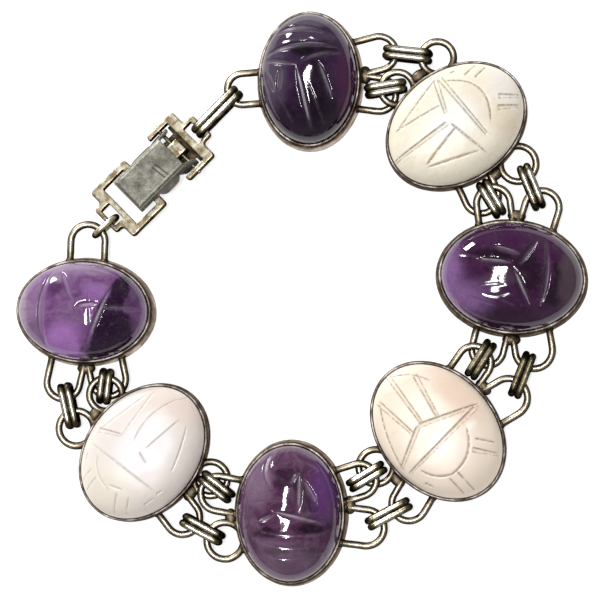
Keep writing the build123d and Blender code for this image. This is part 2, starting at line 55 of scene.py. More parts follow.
# The last column is how strong a painted reflection is, low on the wall of the stone's setting
Stone = namedtuple("Stone", "kind x y turn half_length half_width wall_shine")
STONES = {
    1: Stone(AMETHYST, -29.67, -1.71, -2.0, 8.96, 6.75, 1.0),
    2: Stone(QUARTZ, -21.39, -21.24, 52.2, 9.89, 7.58, 0.15),
    3: Stone(AMETHYST, -1.02, -29.55, -90.0, 9.31, 7.1, 0.65),
    4: Stone(QUARTZ, 19.25, -18.24, -48.5, 10.2, 7.72, 0.1),
    5: Stone(AMETHYST, 29.43, 2.88, -5.0, 9.71, 7.37, 0.25),
    6: Stone(QUARTZ, 21.8, 23.91, 34.4, 10.0, 7.58, 0.15),
    7: Stone(AMETHYST, 1.53, 30.32, -90.0, 8.96, 6.61, 1.0),
}

Loop = namedtuple("Loop", "angle standoff radius level")
LOOPS = {
    1: {
        "single": Loop(89.8, 2.35, 2.38, "middle"),
        "inner": Loop(288.3, 2.3, 2.4, "low"),
        "outer": Loop(256.7, 2.8, 2.3, "low"),
    },
    2: {
        "last_inner": Loop(74.2, 1.36, 2.28, "high"),
        "last_outer": Loop(105.3, 1.69, 2.43, "high"),
        "inner": Loop(283.8, 1.72, 2.35, "low"),
        "outer": Loop(251.7, 2.13, 2.39, "low"),
    },
    3: {
        "last_inner": Loop(257.0, 2.53, 2.41, "high"),
        "last_outer": Loop(289.6, 1.81, 2.52, "high"),
        "inner": Loop(112.6, 2.52, 2.28, "high"),
        "outer": Loop(80.7, 2.82, 2.49, "high"),
    },
    4: {
        "last_inner": Loop(260.4, 1.58, 2.39, "low"),
        "last_outer": Loop(292.9, 2.15, 2.38, "low"),
        "inner": Loop(107.6, 2.21, 2.32, "high"),
        "outer": Loop(76.4, 2.38, 2.63, "high"),
    },
    5: {
        "last_inner": Loop(258.3, 2.33, 2.19, "low"),
        "last_outer": Loop(288.7, 2.15, 2.56, "low"),
        "inner": Loop(106.3, 2.31, 2.32, "high"),
        "outer": Loop(74.3, 2.31, 2.35, "high"),
    },
    6: {
        "last_inner": Loop(257.4, 2.17, 2.35, "low"),
        "last_outer": Loop(290.2, 1.66, 2.46, "low"),
        "inner": Loop(109.3, 1.27, 2.28, "high"),
        "outer": Loop(74.2, 1.49, 2.24, "high"),
    },
    7: {
        "last_inner": Loop(80.0, 2.5, 2.32, "low"),
        "last_outer": Loop(108.8, 2.81, 2.35, "low"),
        "single": Loop(276.1, 2.11, 2.17, "middle"),
    },
}

# Where each link lies between its loops, how long it is, and how bright its ridges are rubbed: those between
# stones 4 and 5 are the darkest
Link = namedtuple("Link", "along aside turn length shine roll pitch lift", defaults=(0.0, 0.0, 0.0))
LINKS = {
    (1, "inner"): Link(-0.03, -0.28, -0.8, 5.1, 0.75, roll=-1.8, pitch=-0.3, lift=0.01),
    (1, "outer"): Link(0.02, -0.12, -4.4, 6.5, 0.75),
    (2, "inner"): Link(0.21, 0.22, 22.7, 5.7, 0.85, lift=0.03),
    (2, "outer"): Link(-0.15, -0.11, 0.0, 6.6, 0.85),
    (3, "inner"): Link(-0.38, -0.23, -8.4, 6.0, 0.85),
    (3, "outer"): Link(0.27, 0.16, -1.5, 6.9, 0.7),
    (4, "inner"): Link(-0.34, -0.31, 13.2, 6.0, 0.35, roll=-0.6, lift=0.01),
    (4, "outer"): Link(-0.07, -0.19, 7.2, 6.7, 0.4),
    (5, "inner"): Link(-0.33, -0.43, -25.4, 5.7, 0.85, roll=1.8, lift=0.01),
    (5, "outer"): Link(-0.26, -0.06, -5.8, 6.7, 0.8),
    (6, "inner"): Link(0.23, -0.49, -6.6, 6.0, 0.95, roll=-0.9, lift=0.05),
    (6, "outer"): Link(0.06, -0.08, -1.2, 6.9, 1.0, roll=0.5, pitch=4.4, lift=0.17),
}
CLASP_LINK_PLACE = (-11.33, 25.98, 45.5)
CLASP_LINK_LENGTH = 8.8
JUMP_RING_PLACE = (-26.83, 10.15, 41.0)

WIRE_R = 0.5
LOOP_BURY = 1.2
LEGGED_BEYOND = 1.95  # a loop that stands off further than this has straight legs
CROSSING_STEP = 0.56  # half the step between two loops that cross
CHAIN_HEIGHT = 1.91
LEVELS = {"low": CHAIN_HEIGHT - CROSSING_STEP, "middle": CHAIN_HEIGHT, "high": CHAIN_HEIGHT + CROSSING_STEP}
STRIP_WIDTH = 1.95
STRIP_THICKNESS = 0.65
RIDGE_R = 0.5
LINK_ROOM = 2.36
LINK_BEND_R = 0.5
JUMP_WIRE_R = 0.425
JUMP_LENGTH = 4.8
JUMP_HEIGHT = 3.7
SEAT_HEIGHT = 0.6
SEAT_WIDTH = 1.1
STONE_GAP = 0.05
STONE_LEAN = 0.04
STONE_FULLNESS = 0.69
SOLDER_R = 0.85
SOLDER_STANDOFF = 0.5
CLASP_PLACE = (-18.68, 18.88, 1.9)
CLASP_TURN = 45.0
CLASP_ROLL = -10.0

# The engraved lines of each stone, as shares of its half length and half width, from end to end. Bow is how
# far a line bends to its left, as a share of its length, and a twin is a pair of fine lines side by side.

Cut = namedtuple("Cut", "x1 y1 x2 y2 bow twin", defaults=(0.0, False))
CUTS = {
    1: [
        Cut(-0.46, 0.78, -0.48, -0.87, -0.11),
        Cut(-0.3, 0.75, -0.11, 0.17),
        Cut(-0.06, 0.07, 0.27, 0.15),
        Cut(0.46, 0.47, 0.09, -0.88, -0.02),
        Cut(0.38, 0.07, 0.97, 0.06),
    ],
    2: [
        Cut(-0.11, 0.86, 0.64, 0.59),
        Cut(0.75, 0.5, 0.02, 0.48),
        Cut(-0.11, 0.86, 0.01, 0.51, twin=True),
        Cut(0.97, -0.01, 0.1, 0.25, -0.12),
        Cut(0.67, -0.18, 0.11, -0.03),
        Cut(0.65, -0.37, 0.06, -0.64, 0.03),
        Cut(-0.32, 0.76, -0.31, -0.54),
        Cut(-0.01, 0.02, -0.07, -0.18),
        Cut(-0.42, 0.59, -0.68, 0.09, -0.12),
        Cut(-0.63, 0.1, -0.57, -0.13),
        Cut(-0.81, 0.55, -0.61, 0.54),
        Cut(-0.89, 0.38, -0.66, 0.38),
        Cut(-0.66, -0.1, -0.91, -0.29),
        Cut(-0.6, -0.32, -0.8, -0.46),
        Cut(-0.33, -0.68, -0.24, -0.72),
        Cut(-0.55, -0.62, -0.4, -0.68),
        Cut(-0.55, 0.74, -0.46, 0.78),
    ],
    3: [
        Cut(-0.04, -0.27, 0.14, 0.69, twin=True),
        Cut(0.1, -0.57, 0.0, -0.27),
        Cut(-0.93, -0.25, -0.35, -0.27, -0.22),
        Cut(-0.6, 0.16, -0.45, 0.04),
        Cut(-0.58, 0.21, -0.07, 0.2, twin=True),
        Cut(-0.51, 0.28, -0.14, 0.55, twin=True),
    ],
    4: [
        Cut(-0.96, -0.02, -0.24, -0.11, twin=True),
        Cut(-0.74, 0.35, -0.16, 0.18, twin=True),
        Cut(-0.78, -0.45, -0.21, -0.36, twin=True),
        Cut(-0.75, -0.48, 0.06, -0.9, -0.05),
        Cut(-0.21, -0.14, 0.08, 0.81, twin=True),
        Cut(-0.21, -0.22, 0.05, -0.89, twin=True),
        Cut(0.1, 0.71, 0.18, -0.8, twin=True),
        Cut(-0.95, 0.02, -0.6, 0.48, 0.1),
        Cut(0.25, 0.41, 0.56, -0.31, 0.17),
        Cut(0.56, -0.31, 0.26, -0.67, 0.12),
        Cut(0.41, 0.42, 0.61, 0.62),
        Cut(0.5, 0.26, 0.75, 0.51, twin=True),
        Cut(0.58, -0.39, 0.85, -0.38),
        Cut(0.59, -0.21, 0.9, -0.2),
        Cut(0.41, -0.77, 0.52, -0.71),
    ],
    5: [
        Cut(0.42, 0.7, 0.42, -0.48, 0.07, True),
        Cut(0.01, 0.13, 0.27, -0.49),
        Cut(0.09, 0.22, 0.31, 0.69, 0.01),
        Cut(-0.3, 0.52, 0.08, 0.42),
        Cut(-0.49, 0.25, -0.03, 0.25),
    ],
    6: [
        Cut(0.09, 0.87, -0.71, 0.5),
        Cut(-0.71, 0.5, -0.07, 0.44),
        Cut(0.1, 0.85, -0.03, 0.27, twin=True),
        Cut(0.17, 0.8, 0.26, -0.42, twin=True),
        Cut(-0.13, 0.09, -0.95, 0.05, twin=True),
        Cut(-0.05, 0.02, 0.11, -0.71),
        Cut(-0.06, -0.07, -0.63, -0.31),
        Cut(-0.63, -0.38, 0.02, -0.63),
        Cut(0.25, 0.72, 0.43, -0.28, 0.26),
        Cut(0.48, 0.64, 0.66, 0.68),
        Cut(0.58, 0.5, 0.78, 0.55),
        Cut(0.7, -0.03, 0.91, -0.22, twin=True),
        Cut(0.6, -0.19, 0.83, -0.37, twin=True),
        Cut(0.33, 0.82, 0.4, 0.81),
    ],
    7: [
        Cut(-0.64, -0.7, -0.66, 0.35, 0.12),
        Cut(-0.32, -0.9, -0.44, 0.64, 0.09),
        Cut(-0.26, -0.92, -0.18, -0.24),
        Cut(-0.24, -0.1, -0.36, 0.67, 0.06),
        Cut(-0.11, -0.21, 0.8, 0.07, twin=True),
        Cut(-0.08, -0.88, 0.25, -0.69),
        Cut(-0.12, -0.57, 0.24, -0.6),
        Cut(-0.2, 0.23, 0.35, 0.5, twin=True),
    ],
}

# Fainter strokes on the amethysts, which hardly cut the polish
STROKES = {
    1: [
        Cut(-0.96, 0.2, -0.74, 0.16),
        Cut(-0.95, -0.02, -0.72, -0.04),
        Cut(-0.92, -0.26, -0.7, -0.22),
        Cut(0.1, 0.6, 0.44, 0.52),
        Cut(0.12, 0.52, 0.2, -0.6),
    ],
    3: [
        Cut(0.28, 0.66, 0.24, -0.62, 0.05),
        Cut(0.46, 0.5, 0.4, -0.58, 0.07),
        Cut(0.62, 0.34, 0.6, -0.44, 0.06),
        Cut(-0.2, -0.3, -0.16, -0.74),
        Cut(-0.74, 0.34, -0.62, 0.58, 0.08),
    ],
    5: [
        Cut(-0.56, -0.3, -0.08, -0.18, 0.06),
        Cut(-0.42, -0.35, -0.02, -0.32, -0.12),
        Cut(-0.56, -0.44, -0.18, -0.58),
        Cut(-0.18, -0.43, 0.06, -0.54),
        Cut(-0.94, 0.3, -0.48, 0.28, 0.05),
        Cut(0.66, 0.64, 0.9, 0.22, 0.12),
    ],
    7: [
        Cut(-0.84, -0.34, -0.86, 0.32, 0.14),
        Cut(-0.5, -0.62, -0.52, 0.3, 0.1),
        Cut(0.3, -0.62, 0.72, -0.3),
        Cut(0.1, 0.02, 0.72, 0.34),
    ],
}

# Colour zones of each stone, in the same shares: middle, half sizes, turn in degrees, softness of the edge as
# a share of its size, what it adds and how strongly. Deep adds darker colour; glow adds painted light that
# gathers in the stone and shines out; haze adds milky colour, and near the rim a painted sheen

Zone = namedtuple("Zone", "x y half_x half_y turn soft adds strength")
ZONES = {
    1: [
        Zone(0.45, -0.1, 0.18, 0.92, -15, 0.1, "deep", 1.0),
        Zone(0.6, -0.48, 0.32, 0.46, -15, 0.12, "deep", 0.97),
        Zone(0.74, 0.1, 0.22, 0.6, 0, 0.3, "deep", 0.45),
        Zone(0.3, -0.78, 0.26, 0.22, 20, 0.3, "deep", 0.85),
        Zone(-0.39, 0.44, 0.13, 0.15, 0, 0.5, "deep", 0.5),
        Zone(-0.08, 0.31, 0.1, 0.06, 12, 0.5, "deep", 0.45),
        Zone(-0.7, -0.33, 0.07, 0.12, 0, 0.5, "deep", 0.4),
        Zone(-0.24, -0.62, 0.28, 0.36, 0, 0.5, "glow", 0.85),
        Zone(-0.06, -0.8, 0.09, 0.12, 0, 0.4, "glow", 1.0),
        Zone(0.23, 0.36, 0.18, 0.16, 0, 0.5, "glow", 0.45),
        Zone(0.9, -0.2, 0.1, 0.45, 0, 0.5, "glow", 0.25),
        Zone(-0.93, 0.0, 0.11, 0.5, 0, 0.4, "haze_and_sheen", 0.8),
        Zone(-0.72, 0.05, 0.18, 0.7, 0, 0.5, "haze_and_sheen", 0.35),
        Zone(0.08, 0.88, 0.5, 0.14, 0, 0.5, "haze_and_sheen", 0.6),
        Zone(-0.36, 0.73, 0.16, 0.18, 30, 0.5, "haze_and_sheen", 0.55),
    ],
    2: [
        Zone(0.82, -0.15, 0.2, 0.32, 0, 0.6, "deep", 0.55),
        Zone(0.7, 0.32, 0.18, 0.24, 0, 0.6, "deep", 0.45),
        Zone(-0.72, 0.1, 0.34, 0.55, 0, 0.6, "haze_and_sheen", 0.7),
        Zone(0.05, 0.05, 0.45, 0.45, 0, 0.7, "glow", 0.7),
    ],
    3: [
        Zone(-0.42, 0.72, 0.46, 0.26, -6, 0.5, "glow", 0.8),
        Zone(-0.52, -0.08, 0.18, 0.22, 0, 0.2, "deep", 0.65),
        Zone(-0.34, 0.26, 0.34, 0.1, 14, 0.3, "deep", 0.65),
        Zone(-0.14, 0.48, 0.12, 0.1, 20, 0.3, "deep", 0.8),
        Zone(0.28, -0.42, 0.07, 0.26, 0, 0.3, "deep", 0.9),
        Zone(0.2, 0.48, 0.08, 0.34, 4, 0.3, "deep", 0.9),
        Zone(0.53, -0.2, 0.05, 0.24, 0, 0.3, "deep", 0.95),
        Zone(0.5, 0.3, 0.06, 0.24, -8, 0.3, "deep", 0.8),
        Zone(0.62, 0.48, 0.1, 0.16, 0, 0.5, "deep", 0.45),
        Zone(-0.45, -0.6, 0.36, 0.26, 0, 0.5, "haze_and_sheen", 0.6),
        Zone(0.7, -0.05, 0.3, 0.6, 0, 0.5, "haze_and_sheen", 0.4),
    ],
    4: [
        Zone(-0.15, 0.66, 0.45, 0.28, 0, 0.5, "deep", 0.75),
        Zone(0.22, -0.08, 0.2, 0.26, 0, 0.6, "glow", 0.95),
        Zone(0.24, 0.5, 0.07, 0.12, 0, 0.5, "glow", 0.8),
        Zone(-0.03, 0.2, 0.12, 0.12, 0, 0.6, "glow", 0.5),
        Zone(0.6, 0.0, 0.34, 0.8, 0, 0.6, "haze_and_sheen", 0.6),
    ],
    5: [
        Zone(-0.62, -0.52, 0.28, 0.34, -35, 0.8, "glow", 0.8),
        Zone(-0.87, -0.04, 0.15, 0.5, 0, 0.8, "glow", 0.7),
        Zone(-0.3, 0.33, 0.34, 0.13, -8, 0.4, "deep", 0.8),
        Zone(0.22, 0.08, 0.2, 0.42, 0, 0.4, "deep", 0.75),
        Zone(0.64, 0.03, 0.07, 0.3, 6, 0.4, "deep", 0.85),
        Zone(0.56, -0.28, 0.1, 0.2, 14, 0.4, "deep", 0.8),
        Zone(-0.4, -0.28, 0.18, 0.06, 10, 0.5, "deep", 0.6),
        Zone(-0.05, -0.78, 0.5, 0.18, 4, 0.6, "deep", 0.5),
        Zone(0.84, 0.1, 0.18, 0.75, 0, 0.4, "haze_and_sheen", 0.85),
        Zone(-0.15, -0.05, 0.3, 0.12, 10, 0.6, "haze_and_sheen", 0.45),
    ],
    6: [
        Zone(0.56, -0.42, 0.18, 0.3, 0, 0.5, "deep", 0.55),
        Zone(0.38, 0.08, 0.14, 0.42, 0, 0.5, "deep", 0.45),
        Zone(-0.56, -0.25, 0.15, 0.1, 0, 0.5, "deep", 0.55),
        Zone(-0.08, -0.38, 0.26, 0.16, 0, 0.5, "deep", 0.35),
        Zone(0.05, 0.1, 0.34, 0.4, 0, 0.6, "glow", 0.7),
        Zone(0.82, 0.1, 0.16, 0.4, 0, 0.6, "glow", 0.6),
    ],
    7: [
        Zone(-0.41, -0.1, 0.13, 0.24, 0, 0.4, "deep", 0.95),
        Zone(-0.4, 0.45, 0.1, 0.24, 10, 0.4, "deep", 0.8),
        Zone(-0.78, 0.05, 0.06, 0.34, 0, 0.4, "deep", 0.7),
        Zone(0.2, 0.2, 0.55, 0.2, 0, 0.5, "deep", 0.65),
        Zone(0.6, 0.2, 0.4, 0.55, 0, 0.6, "deep", 0.7),
        Zone(0.62, -0.45, 0.2, 0.2, 0, 0.5, "deep", 0.6),
        Zone(-0.88, 0.0, 0.12, 0.65, 0, 0.4, "haze_and_sheen", 0.85),
        Zone(-0.05, -0.72, 0.45, 0.28, 0, 0.5, "haze_and_sheen", 0.6),
        Zone(-0.6, 0.0, 0.08, 0.7, 0, 0.5, "haze_and_sheen", 0.35),
        Zone(0.05, 0.82, 0.7, 0.2, 0, 0.5, "glow", 0.7),
    ],
}

# Placing pieces


def plan_place(x, y, z, turn):
    """A place in the plan of the bracelet, turned about the upright."""
    return Matrix.Translation(PLAN_SHIFT + Vector((x, y, z))) @ Matrix.Rotation(radians(turn), 4, "Z")


def seat(number):
    stone = STONES[number]
    return plan_place(stone.x, stone.y, 0, stone.turn)


def loop_place(number, loop):
    """A loop's own frame in its setting's: middle at the origin, X straight out from the wall."""
    stone = STONES[number]
    wall = (stone.kind.rim_wall + stone.kind.base_wall) / 2
    length = stone.half_length + wall
    width = stone.half_width + wall
    angle = radians(loop.angle)
    out = Vector((cos(angle) / length, sin(angle) / width, 0)).normalized()
    middle = Vector((length * cos(angle), width * sin(angle), 0)) + out * loop.standoff
    middle.z = LEVELS[loop.level]
    return Matrix.Translation(middle) @ Matrix.Rotation(atan2(out.y, out.x), 4, "Z")


CLASP_FRAME = plan_place(*CLASP_PLACE, CLASP_TURN) @ Matrix.Rotation(radians(CLASP_ROLL), 4, "X")

# Reading and writing what each point of a mesh carries


def points_of(mesh):
    flat = np.empty(len(mesh.vertices) * 3, np.float32)
    mesh.vertices.foreach_get("co", flat)
    return flat.reshape(-1, 3).astype(float)


def normals_of(mesh):
    flat = np.empty(len(mesh.vertices) * 3, np.float32)
    mesh.vertex_normals.foreach_get("vector", flat)
    return flat.reshape(-1, 3).astype(float)


def move_points(mesh, points):
    mesh.vertices.foreach_set("co", points.astype(np.float32).ravel())
    mesh.update()


def paint(mesh, name, values):
    """Keep one number for each point, for the piece's material to read."""
    layer = mesh.attributes.new(name, "FLOAT", "POINT")
    layer.data.foreach_set("value", np.clip(values, 0, 1).astype(np.float32))


def ease(low, high, values):
    """0 below low, 1 above high and a smooth step between."""
    share = np.clip((values - low) / (high - low), 0, 1)
    return share * share * (3 - 2 * share)


def bell(values, middle, width):
    """1 at the middle, falling away on both sides over about the width."""
    return np.exp(-(((values - middle) / width) ** 2))


def wander(points, size, seed, octaves=2):
    """Smooth noise from -1 to 1 at each point, with lumps of about the given size in millimetres."""
    offset = Vector((seed * 7.3, seed * 3.1, seed * 5.7))
    return np.array([noise.fractal(Vector(point) / size + offset, 1.0, 2.0, octaves) for point in points])


# Mesh work that several pieces share

DOUBLE = 1e-4  # points nearer to each other than this are one


def edges_among(parts):
    return [part for part in parts if isinstance(part, bmesh.types.BMEdge)]


def grow(bm, edges):
    """Draw a ring of edges out on the spot, and return the points and edges of the new ring."""
    grown = bmesh.ops.extrude_edge_only(bm, edges=edges)["geom"]
    verts = [part for part in grown if isinstance(part, bmesh.types.BMVert)]
    ring = set(verts)
    return verts, [edge for edge in edges_among(grown) if ring.issuperset(edge.verts)]


def draw_out(bm, edges, run, steps):
    """Carry a ring of edges along a run in even steps, and return the last ring."""
    for _ in range(steps):
        verts, edges = grow(bm, edges)
        bmesh.ops.translate(bm, verts=verts, vec=run / steps)
    return edges


def bend(bm, edges, middle, axis, angle, steps):
    """Carry a ring of edges round a bend, and return the last ring."""
    spun = bmesh.ops.spin(bm, geom=edges, cent=middle, axis=axis, angle=angle, steps=steps, use_merge=False)
    return edges_among(spun["geom_last"])


def mesh_of(bm, name):
    mesh = bpy.data.meshes.new(name)
    bm.to_mesh(mesh)
    bm.free()
    return mesh


def merged_mesh(bm, name):
    """A mesh with its doubles merged and its faces turned outwards."""
    bmesh.ops.remove_doubles(bm, verts=bm.verts, dist=DOUBLE)
    bmesh.ops.recalc_face_normals(bm, faces=bm.faces)
    return mesh_of(bm, name)


def new_object(name, data):
    made = bpy.data.objects.new(name, data)
    bpy.context.scene.collection.objects.link(made)
    return made


def put_in_scene(name, mesh, place, material, body="chain"):
    """A piece from a mesh in millimetres, moved to its place."""
    mesh.transform(place)
    mesh.transform(Matrix.Scale(MM, 4))
    mesh.shade_smooth()
    mesh.materials.append(material)
    piece = new_object(name + "_dressed", mesh)
    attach(piece, body)
    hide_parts(name)


# Materials


def linear(hex_colour):
    """An sRGB hex colour as the linear colour that a shader takes."""
    channels = [int(hex_colour[place : place + 2], 16) / 255 for place in (0, 2, 4)]
    return [c / 12.92 if c <= 0.04045 else ((c + 0.055) / 1.055) ** 2.4 for c in channels] + [1.0]


def add_node(tree, kind, inputs=None, stops=None, **settings):
    """Add a shader node with its settings, and for a ramp the places and colours of its stops.

    An input is given a value, another node's output, or a node, which means its first output.
    """
    made = tree.nodes.new("ShaderNode" + kind)
    for name, value in settings.items():
        setattr(made, name, value)
    for name, value in (inputs or {}).items():
        if isinstance(value, bpy.types.Node):
            value = value.outputs[0]
        if isinstance(value, bpy.types.NodeSocket):
            tree.links.new(value, made.inputs[name])
        else:
            made.inputs[name].default_value = value
    if stops:
        ramp = made.color_ramp
        while len(ramp.elements) < len(stops):
            ramp.elements.new(0.5)
        for element, (position, colour) in zip(ramp.elements, stops):
            element.position = position
            element.color = linear(colour) if isinstance(colour, str) else [colour] * 3 + [1.0]
    return made


def new_material(name):
    """A material with no nodes yet, and what adds a node to it."""
    material = bpy.data.materials.new(name)
    material.use_nodes = True
    material.node_tree.nodes.clear()
    return material, partial(add_node, material.node_tree)


def per_mm(size):
    """The texture scale whose lumps are this many millimetres across."""
    return 1 / (size * MM)


GRIME_AND_SHADE = "1c1210"  # dirt where a stone meets its bezel, and painted shade of the bezel's lip
CORNER_REACH = 0.9  # tarnish and painted shade darken corners within this many millimetres of another surface
CORNER_SHARES = (0.15, 0.70)  # how open a place is where the tarnish and painted shade are full, and where they are gone
STAIN_SIZE = 1.6
SOLDER_TINT = "b8b274"
SOLDER_YELLOWING = 0.62
TARNISH_DULLS = 0.16  # how much rougher tarnish and painted shade, grain and a bare highlighted edge make the silver
GRAIN_DULLS = 0.12
BARE_DULLS = 0.22
PIT_STRENGTH = 0.15
PIT_DEPTH = 0.06
QUARTZ_IOR = 1.544
FEATHER_SIZE = 0.9  # the length of the tears along the edges of the colour zones
LINE_ROUGHNESS = 0.35  # what a ground line and the dark ring of dirt and painted shade add to the roughness
GRIME_AND_SHADE_ROUGHNESS = 0.5
SCUFF_SIZE = 0.5
SCUFF_STRENGTH = 0.05
SCUFF_DEPTH = 0.05


def silver(
    name, bright, middle, tarnish_and_shade, roughness, grain_size,
    wear=0.0, speckled=0.75, patchy=1.5, alone=False, grazing="8a7c62",
):
    """Worn sterling silver: bright where it is rubbed and where light is painted on, and brown to olive in
    its hollows and corners and on its sides, as tarnish and painted shade.

    Wear brightens it all over, and speckled and patchy are how strong its grain and stains are. Alone means
    that only its own corners darken with tarnish and painted shade, where otherwise other pieces near it and
    the paper darken it too, and grazing is the colour of what it reflects at a glancing angle.
    """
    material, add = new_material(name)
    place = add("TexCoord").outputs["Object"]
    wear_and_painted_light, solder, bare_and_highlight = (
        add("Attribute", attribute_name=mark).outputs["Fac"]
        for mark in ("wear_and_painted_light", "solder", "bare_and_highlight")
    )
    stain, grain = (
        add("TexNoise", {"Vector": place, "Scale": per_mm(size), "Detail": detail, "Roughness": fineness})
        for size, detail, fineness in ((STAIN_SIZE, 5.0, 0.65), (grain_size, 4.0, 0.7))
    )
    reach = {"Distance": CORNER_REACH * MM}
    # Ambient occlusion: tarnish in a piece's own hollows, and painted shade between pieces and by the paper
    corner_tarnish_and_shade = add("AmbientOcclusion", reach, samples=6, only_local=alone).outputs["AO"]
    filled, clear = CORNER_SHARES
    open_share = add("MapRange", {"Value": corner_tarnish_and_shade, "From Min": filled, "From Max": clear})
    patches = add("Math", {0: stain, 1: patchy, 2: wear - patchy / 2}, operation="MULTIPLY_ADD")
    rubbed_and_lit = add("Math", {0: patches, 1: wear_and_painted_light}, operation="ADD", use_clamp=True)
    shown = add("Math", {0: rubbed_and_lit, 1: open_share}, operation="MULTIPLY", use_clamp=True)
    shown = add("Math", {0: shown, 1: bare_and_highlight}, operation="MAXIMUM")
    tones = [(0.0, tarnish_and_shade), (0.45, middle), (0.85, bright)]
    colour = add("ValToRGB", {"Fac": shown}, stops=tones)
    yellowed = add("Math", {0: solder, 1: SOLDER_YELLOWING}, operation="MULTIPLY")
    speckle = add("ValToRGB", {"Fac": grain}, stops=[(0.35, 0.35), (0.56, 1.0)])
    for share, tint in ((yellowed, linear(SOLDER_TINT)), (speckled, speckle)):
        layer = {"Factor": share, 6: colour, 7: tint}
        colour = add("Mix", layer, data_type="RGBA", blend_type="MULTIPLY").outputs[2]
    scuffed = add("MapRange", {"Value": shown, "To Min": roughness + TARNISH_DULLS, "To Max": roughness})
    for amount, dulls in ((grain, GRAIN_DULLS), (bare_and_highlight, BARE_DULLS)):
        scuffed = add("Math", {0: amount, 1: dulls, 2: scuffed}, operation="MULTIPLY_ADD")
    pits = add("Bump", {"Height": grain, "Strength": PIT_STRENGTH, "Distance": PIT_DEPTH * MM})
    finish = {
        "Base Color": colour,
        "Metallic": 1.0,
        "Specular Tint": linear(grazing),
        "Roughness": scuffed,
        "Normal": pits,
    }
    metal = add("BsdfPrincipled", finish)
    add("OutputMaterial", {"Surface": metal})
    return material


def engraved_stone(name, body, deep, glow, haze_and_sheen, line, clearness, veil=0.5, mottle=0.5, polish=0.04):
    """A quartz stone with ground lines: part clear and clouded inside, and matt in its lines.

    Deep is the colour of its darker zones, glow the colour of painted light gathered inside it, and haze the
    colour of its milky zones and of the painted sheen near its rim; line is what its grooves hold. Veil and
    mottle say how much haze and dark cloud it has all over, and polish is its roughness.
    """
    material, add = new_material(name)
    place = add("TexCoord").outputs["Object"]
    marks = {
        mark: add("Attribute", attribute_name=mark).outputs["Fac"]
        for mark in ("deep", "glow", "haze_and_sheen", "cut", "edge", "grime_and_shade")
    }
    soft = {"Vector": place, "Roughness": 0.65}

    def clouds(size, detail, twist, low, high, most):
        """Where clouds of this size lie in the stone: none of them below low, and most above high."""
        lumps = add("TexNoise", {**soft, "Scale": per_mm(size), "Detail": detail, "Distortion": twist})
        return add("ValToRGB", {"Fac": lumps}, stops=[(low, 0.0), (high, most)])

    layers = [
        (clouds(3.0, 6.0, 1.4, 0.42, 0.66, veil), haze_and_sheen),
        (clouds(1.3, 5.0, 1.8, 0.52, 0.66, mottle), deep),
    ]
    feather = add("TexNoise", {**soft, "Scale": per_mm(FEATHER_SIZE), "Detail": 3.0, "Distortion": 2.5})
    ragged = add("Math", {0: feather, 1: 0.5}, operation="SUBTRACT")
    for zone, tint in (("deep", deep), ("glow", glow), ("haze_and_sheen", haze_and_sheen)):
        torn = {0: ragged, 1: marks[zone], 2: marks[zone]}
        layers.append((add("Math", torn, operation="MULTIPLY_ADD", use_clamp=True), tint))
    layers.append((clouds(0.8, 3.0, 1.0, 0.56, 0.76, mottle), haze_and_sheen))
    breaks = clouds(0.5, 3.0, 1.0, 0.32, 0.54, 1.0)
    rough_line = add("Math", {0: marks["edge"], 1: breaks}, operation="MULTIPLY")
    # A dark ring where the stone meets its bezel: dirt, and painted shade of the bezel's lip
    layers += [(rough_line, line), (marks["grime_and_shade"], GRIME_AND_SHADE)]
    colour = linear(body)
    for share, tint in layers:
        layer = {"Factor": share, 6: colour, 7: linear(tint)}
        colour = add("Mix", layer, data_type="RGBA").outputs[2]
    rough = polish
    for mark, roughens in (("cut", LINE_ROUGHNESS), ("grime_and_shade", GRIME_AND_SHADE_ROUGHNESS)):
        layer = {0: marks[mark], 1: roughens, 2: rough}
        rough = add("Math", layer, operation="MULTIPLY_ADD")
    scuffs = add("TexNoise", {"Vector": place, "Scale": per_mm(SCUFF_SIZE), "Detail": 4.0, "Roughness": 0.7})
    relief = add("Bump", {"Height": scuffs, "Strength": SCUFF_STRENGTH, "Distance": SCUFF_DEPTH * MM})
    finish = {
        "Base Color": colour,
        "Roughness": rough,
        "IOR": QUARTZ_IOR,
        "Transmission Weight": clearness,
        "Normal": relief,
    }
    gem = add("BsdfPrincipled", finish)
    add("OutputMaterial", {"Surface": gem})
    return material


# Drawn wire: a soft yellowish shine along its top, from wear and painted light, and olive brown beneath,
# from tarnish and painted shade
wire_silver = silver("silver_wire_drawn_and_worn", "efe6c6", "988b5e", "2a2412", 0.30, 0.35)

# Rolled strip: its ridges are rubbed nearly white, with painted light on their tops, and the valley between
# them is almost black; the ends are painted darker, as a dark reflection
strip_silver = silver("silver_rolled_strip_worn", "e6e1d4", "8c8268", "1e1810", 0.27, 0.30, grazing="98907c")

# Burnished bezel and its soldered wire: a smooth grey wall with scuffs down it and a painted reflection
# low down, under a thin bright rim that is worn bare and painted as a highlight
bezel_silver = silver(
    "silver_bezel_burnished", "e2d8d0", "8f8276", "2a2018", 0.32, 0.45,
    speckled=0.6, patchy=0.7, alone=True, grazing="bdb3ac",
)

# Filed plate: brownish, with edges worn bright and painted as highlights
clasp_silver = silver(
    "silver_plate_filed", "e6dfca", "87795f", "30271a", 0.30, 0.50, wear=0.05, speckled=0.45
)

# Scuffed sheet: flat and cool grey, with a fine even grain, two scratches and sides painted bright as a
# reflection
lever_silver = silver(
    "silver_sheet_scuffed", "c8c5b8", "6a6860", "241f1b", 0.34, 0.25,
    speckled=0.65, patchy=0.6, alone=True, grazing="d6d0c8",
)

SATIN = 0.36  # the roughness of the pale stones, which show no sharp reflection

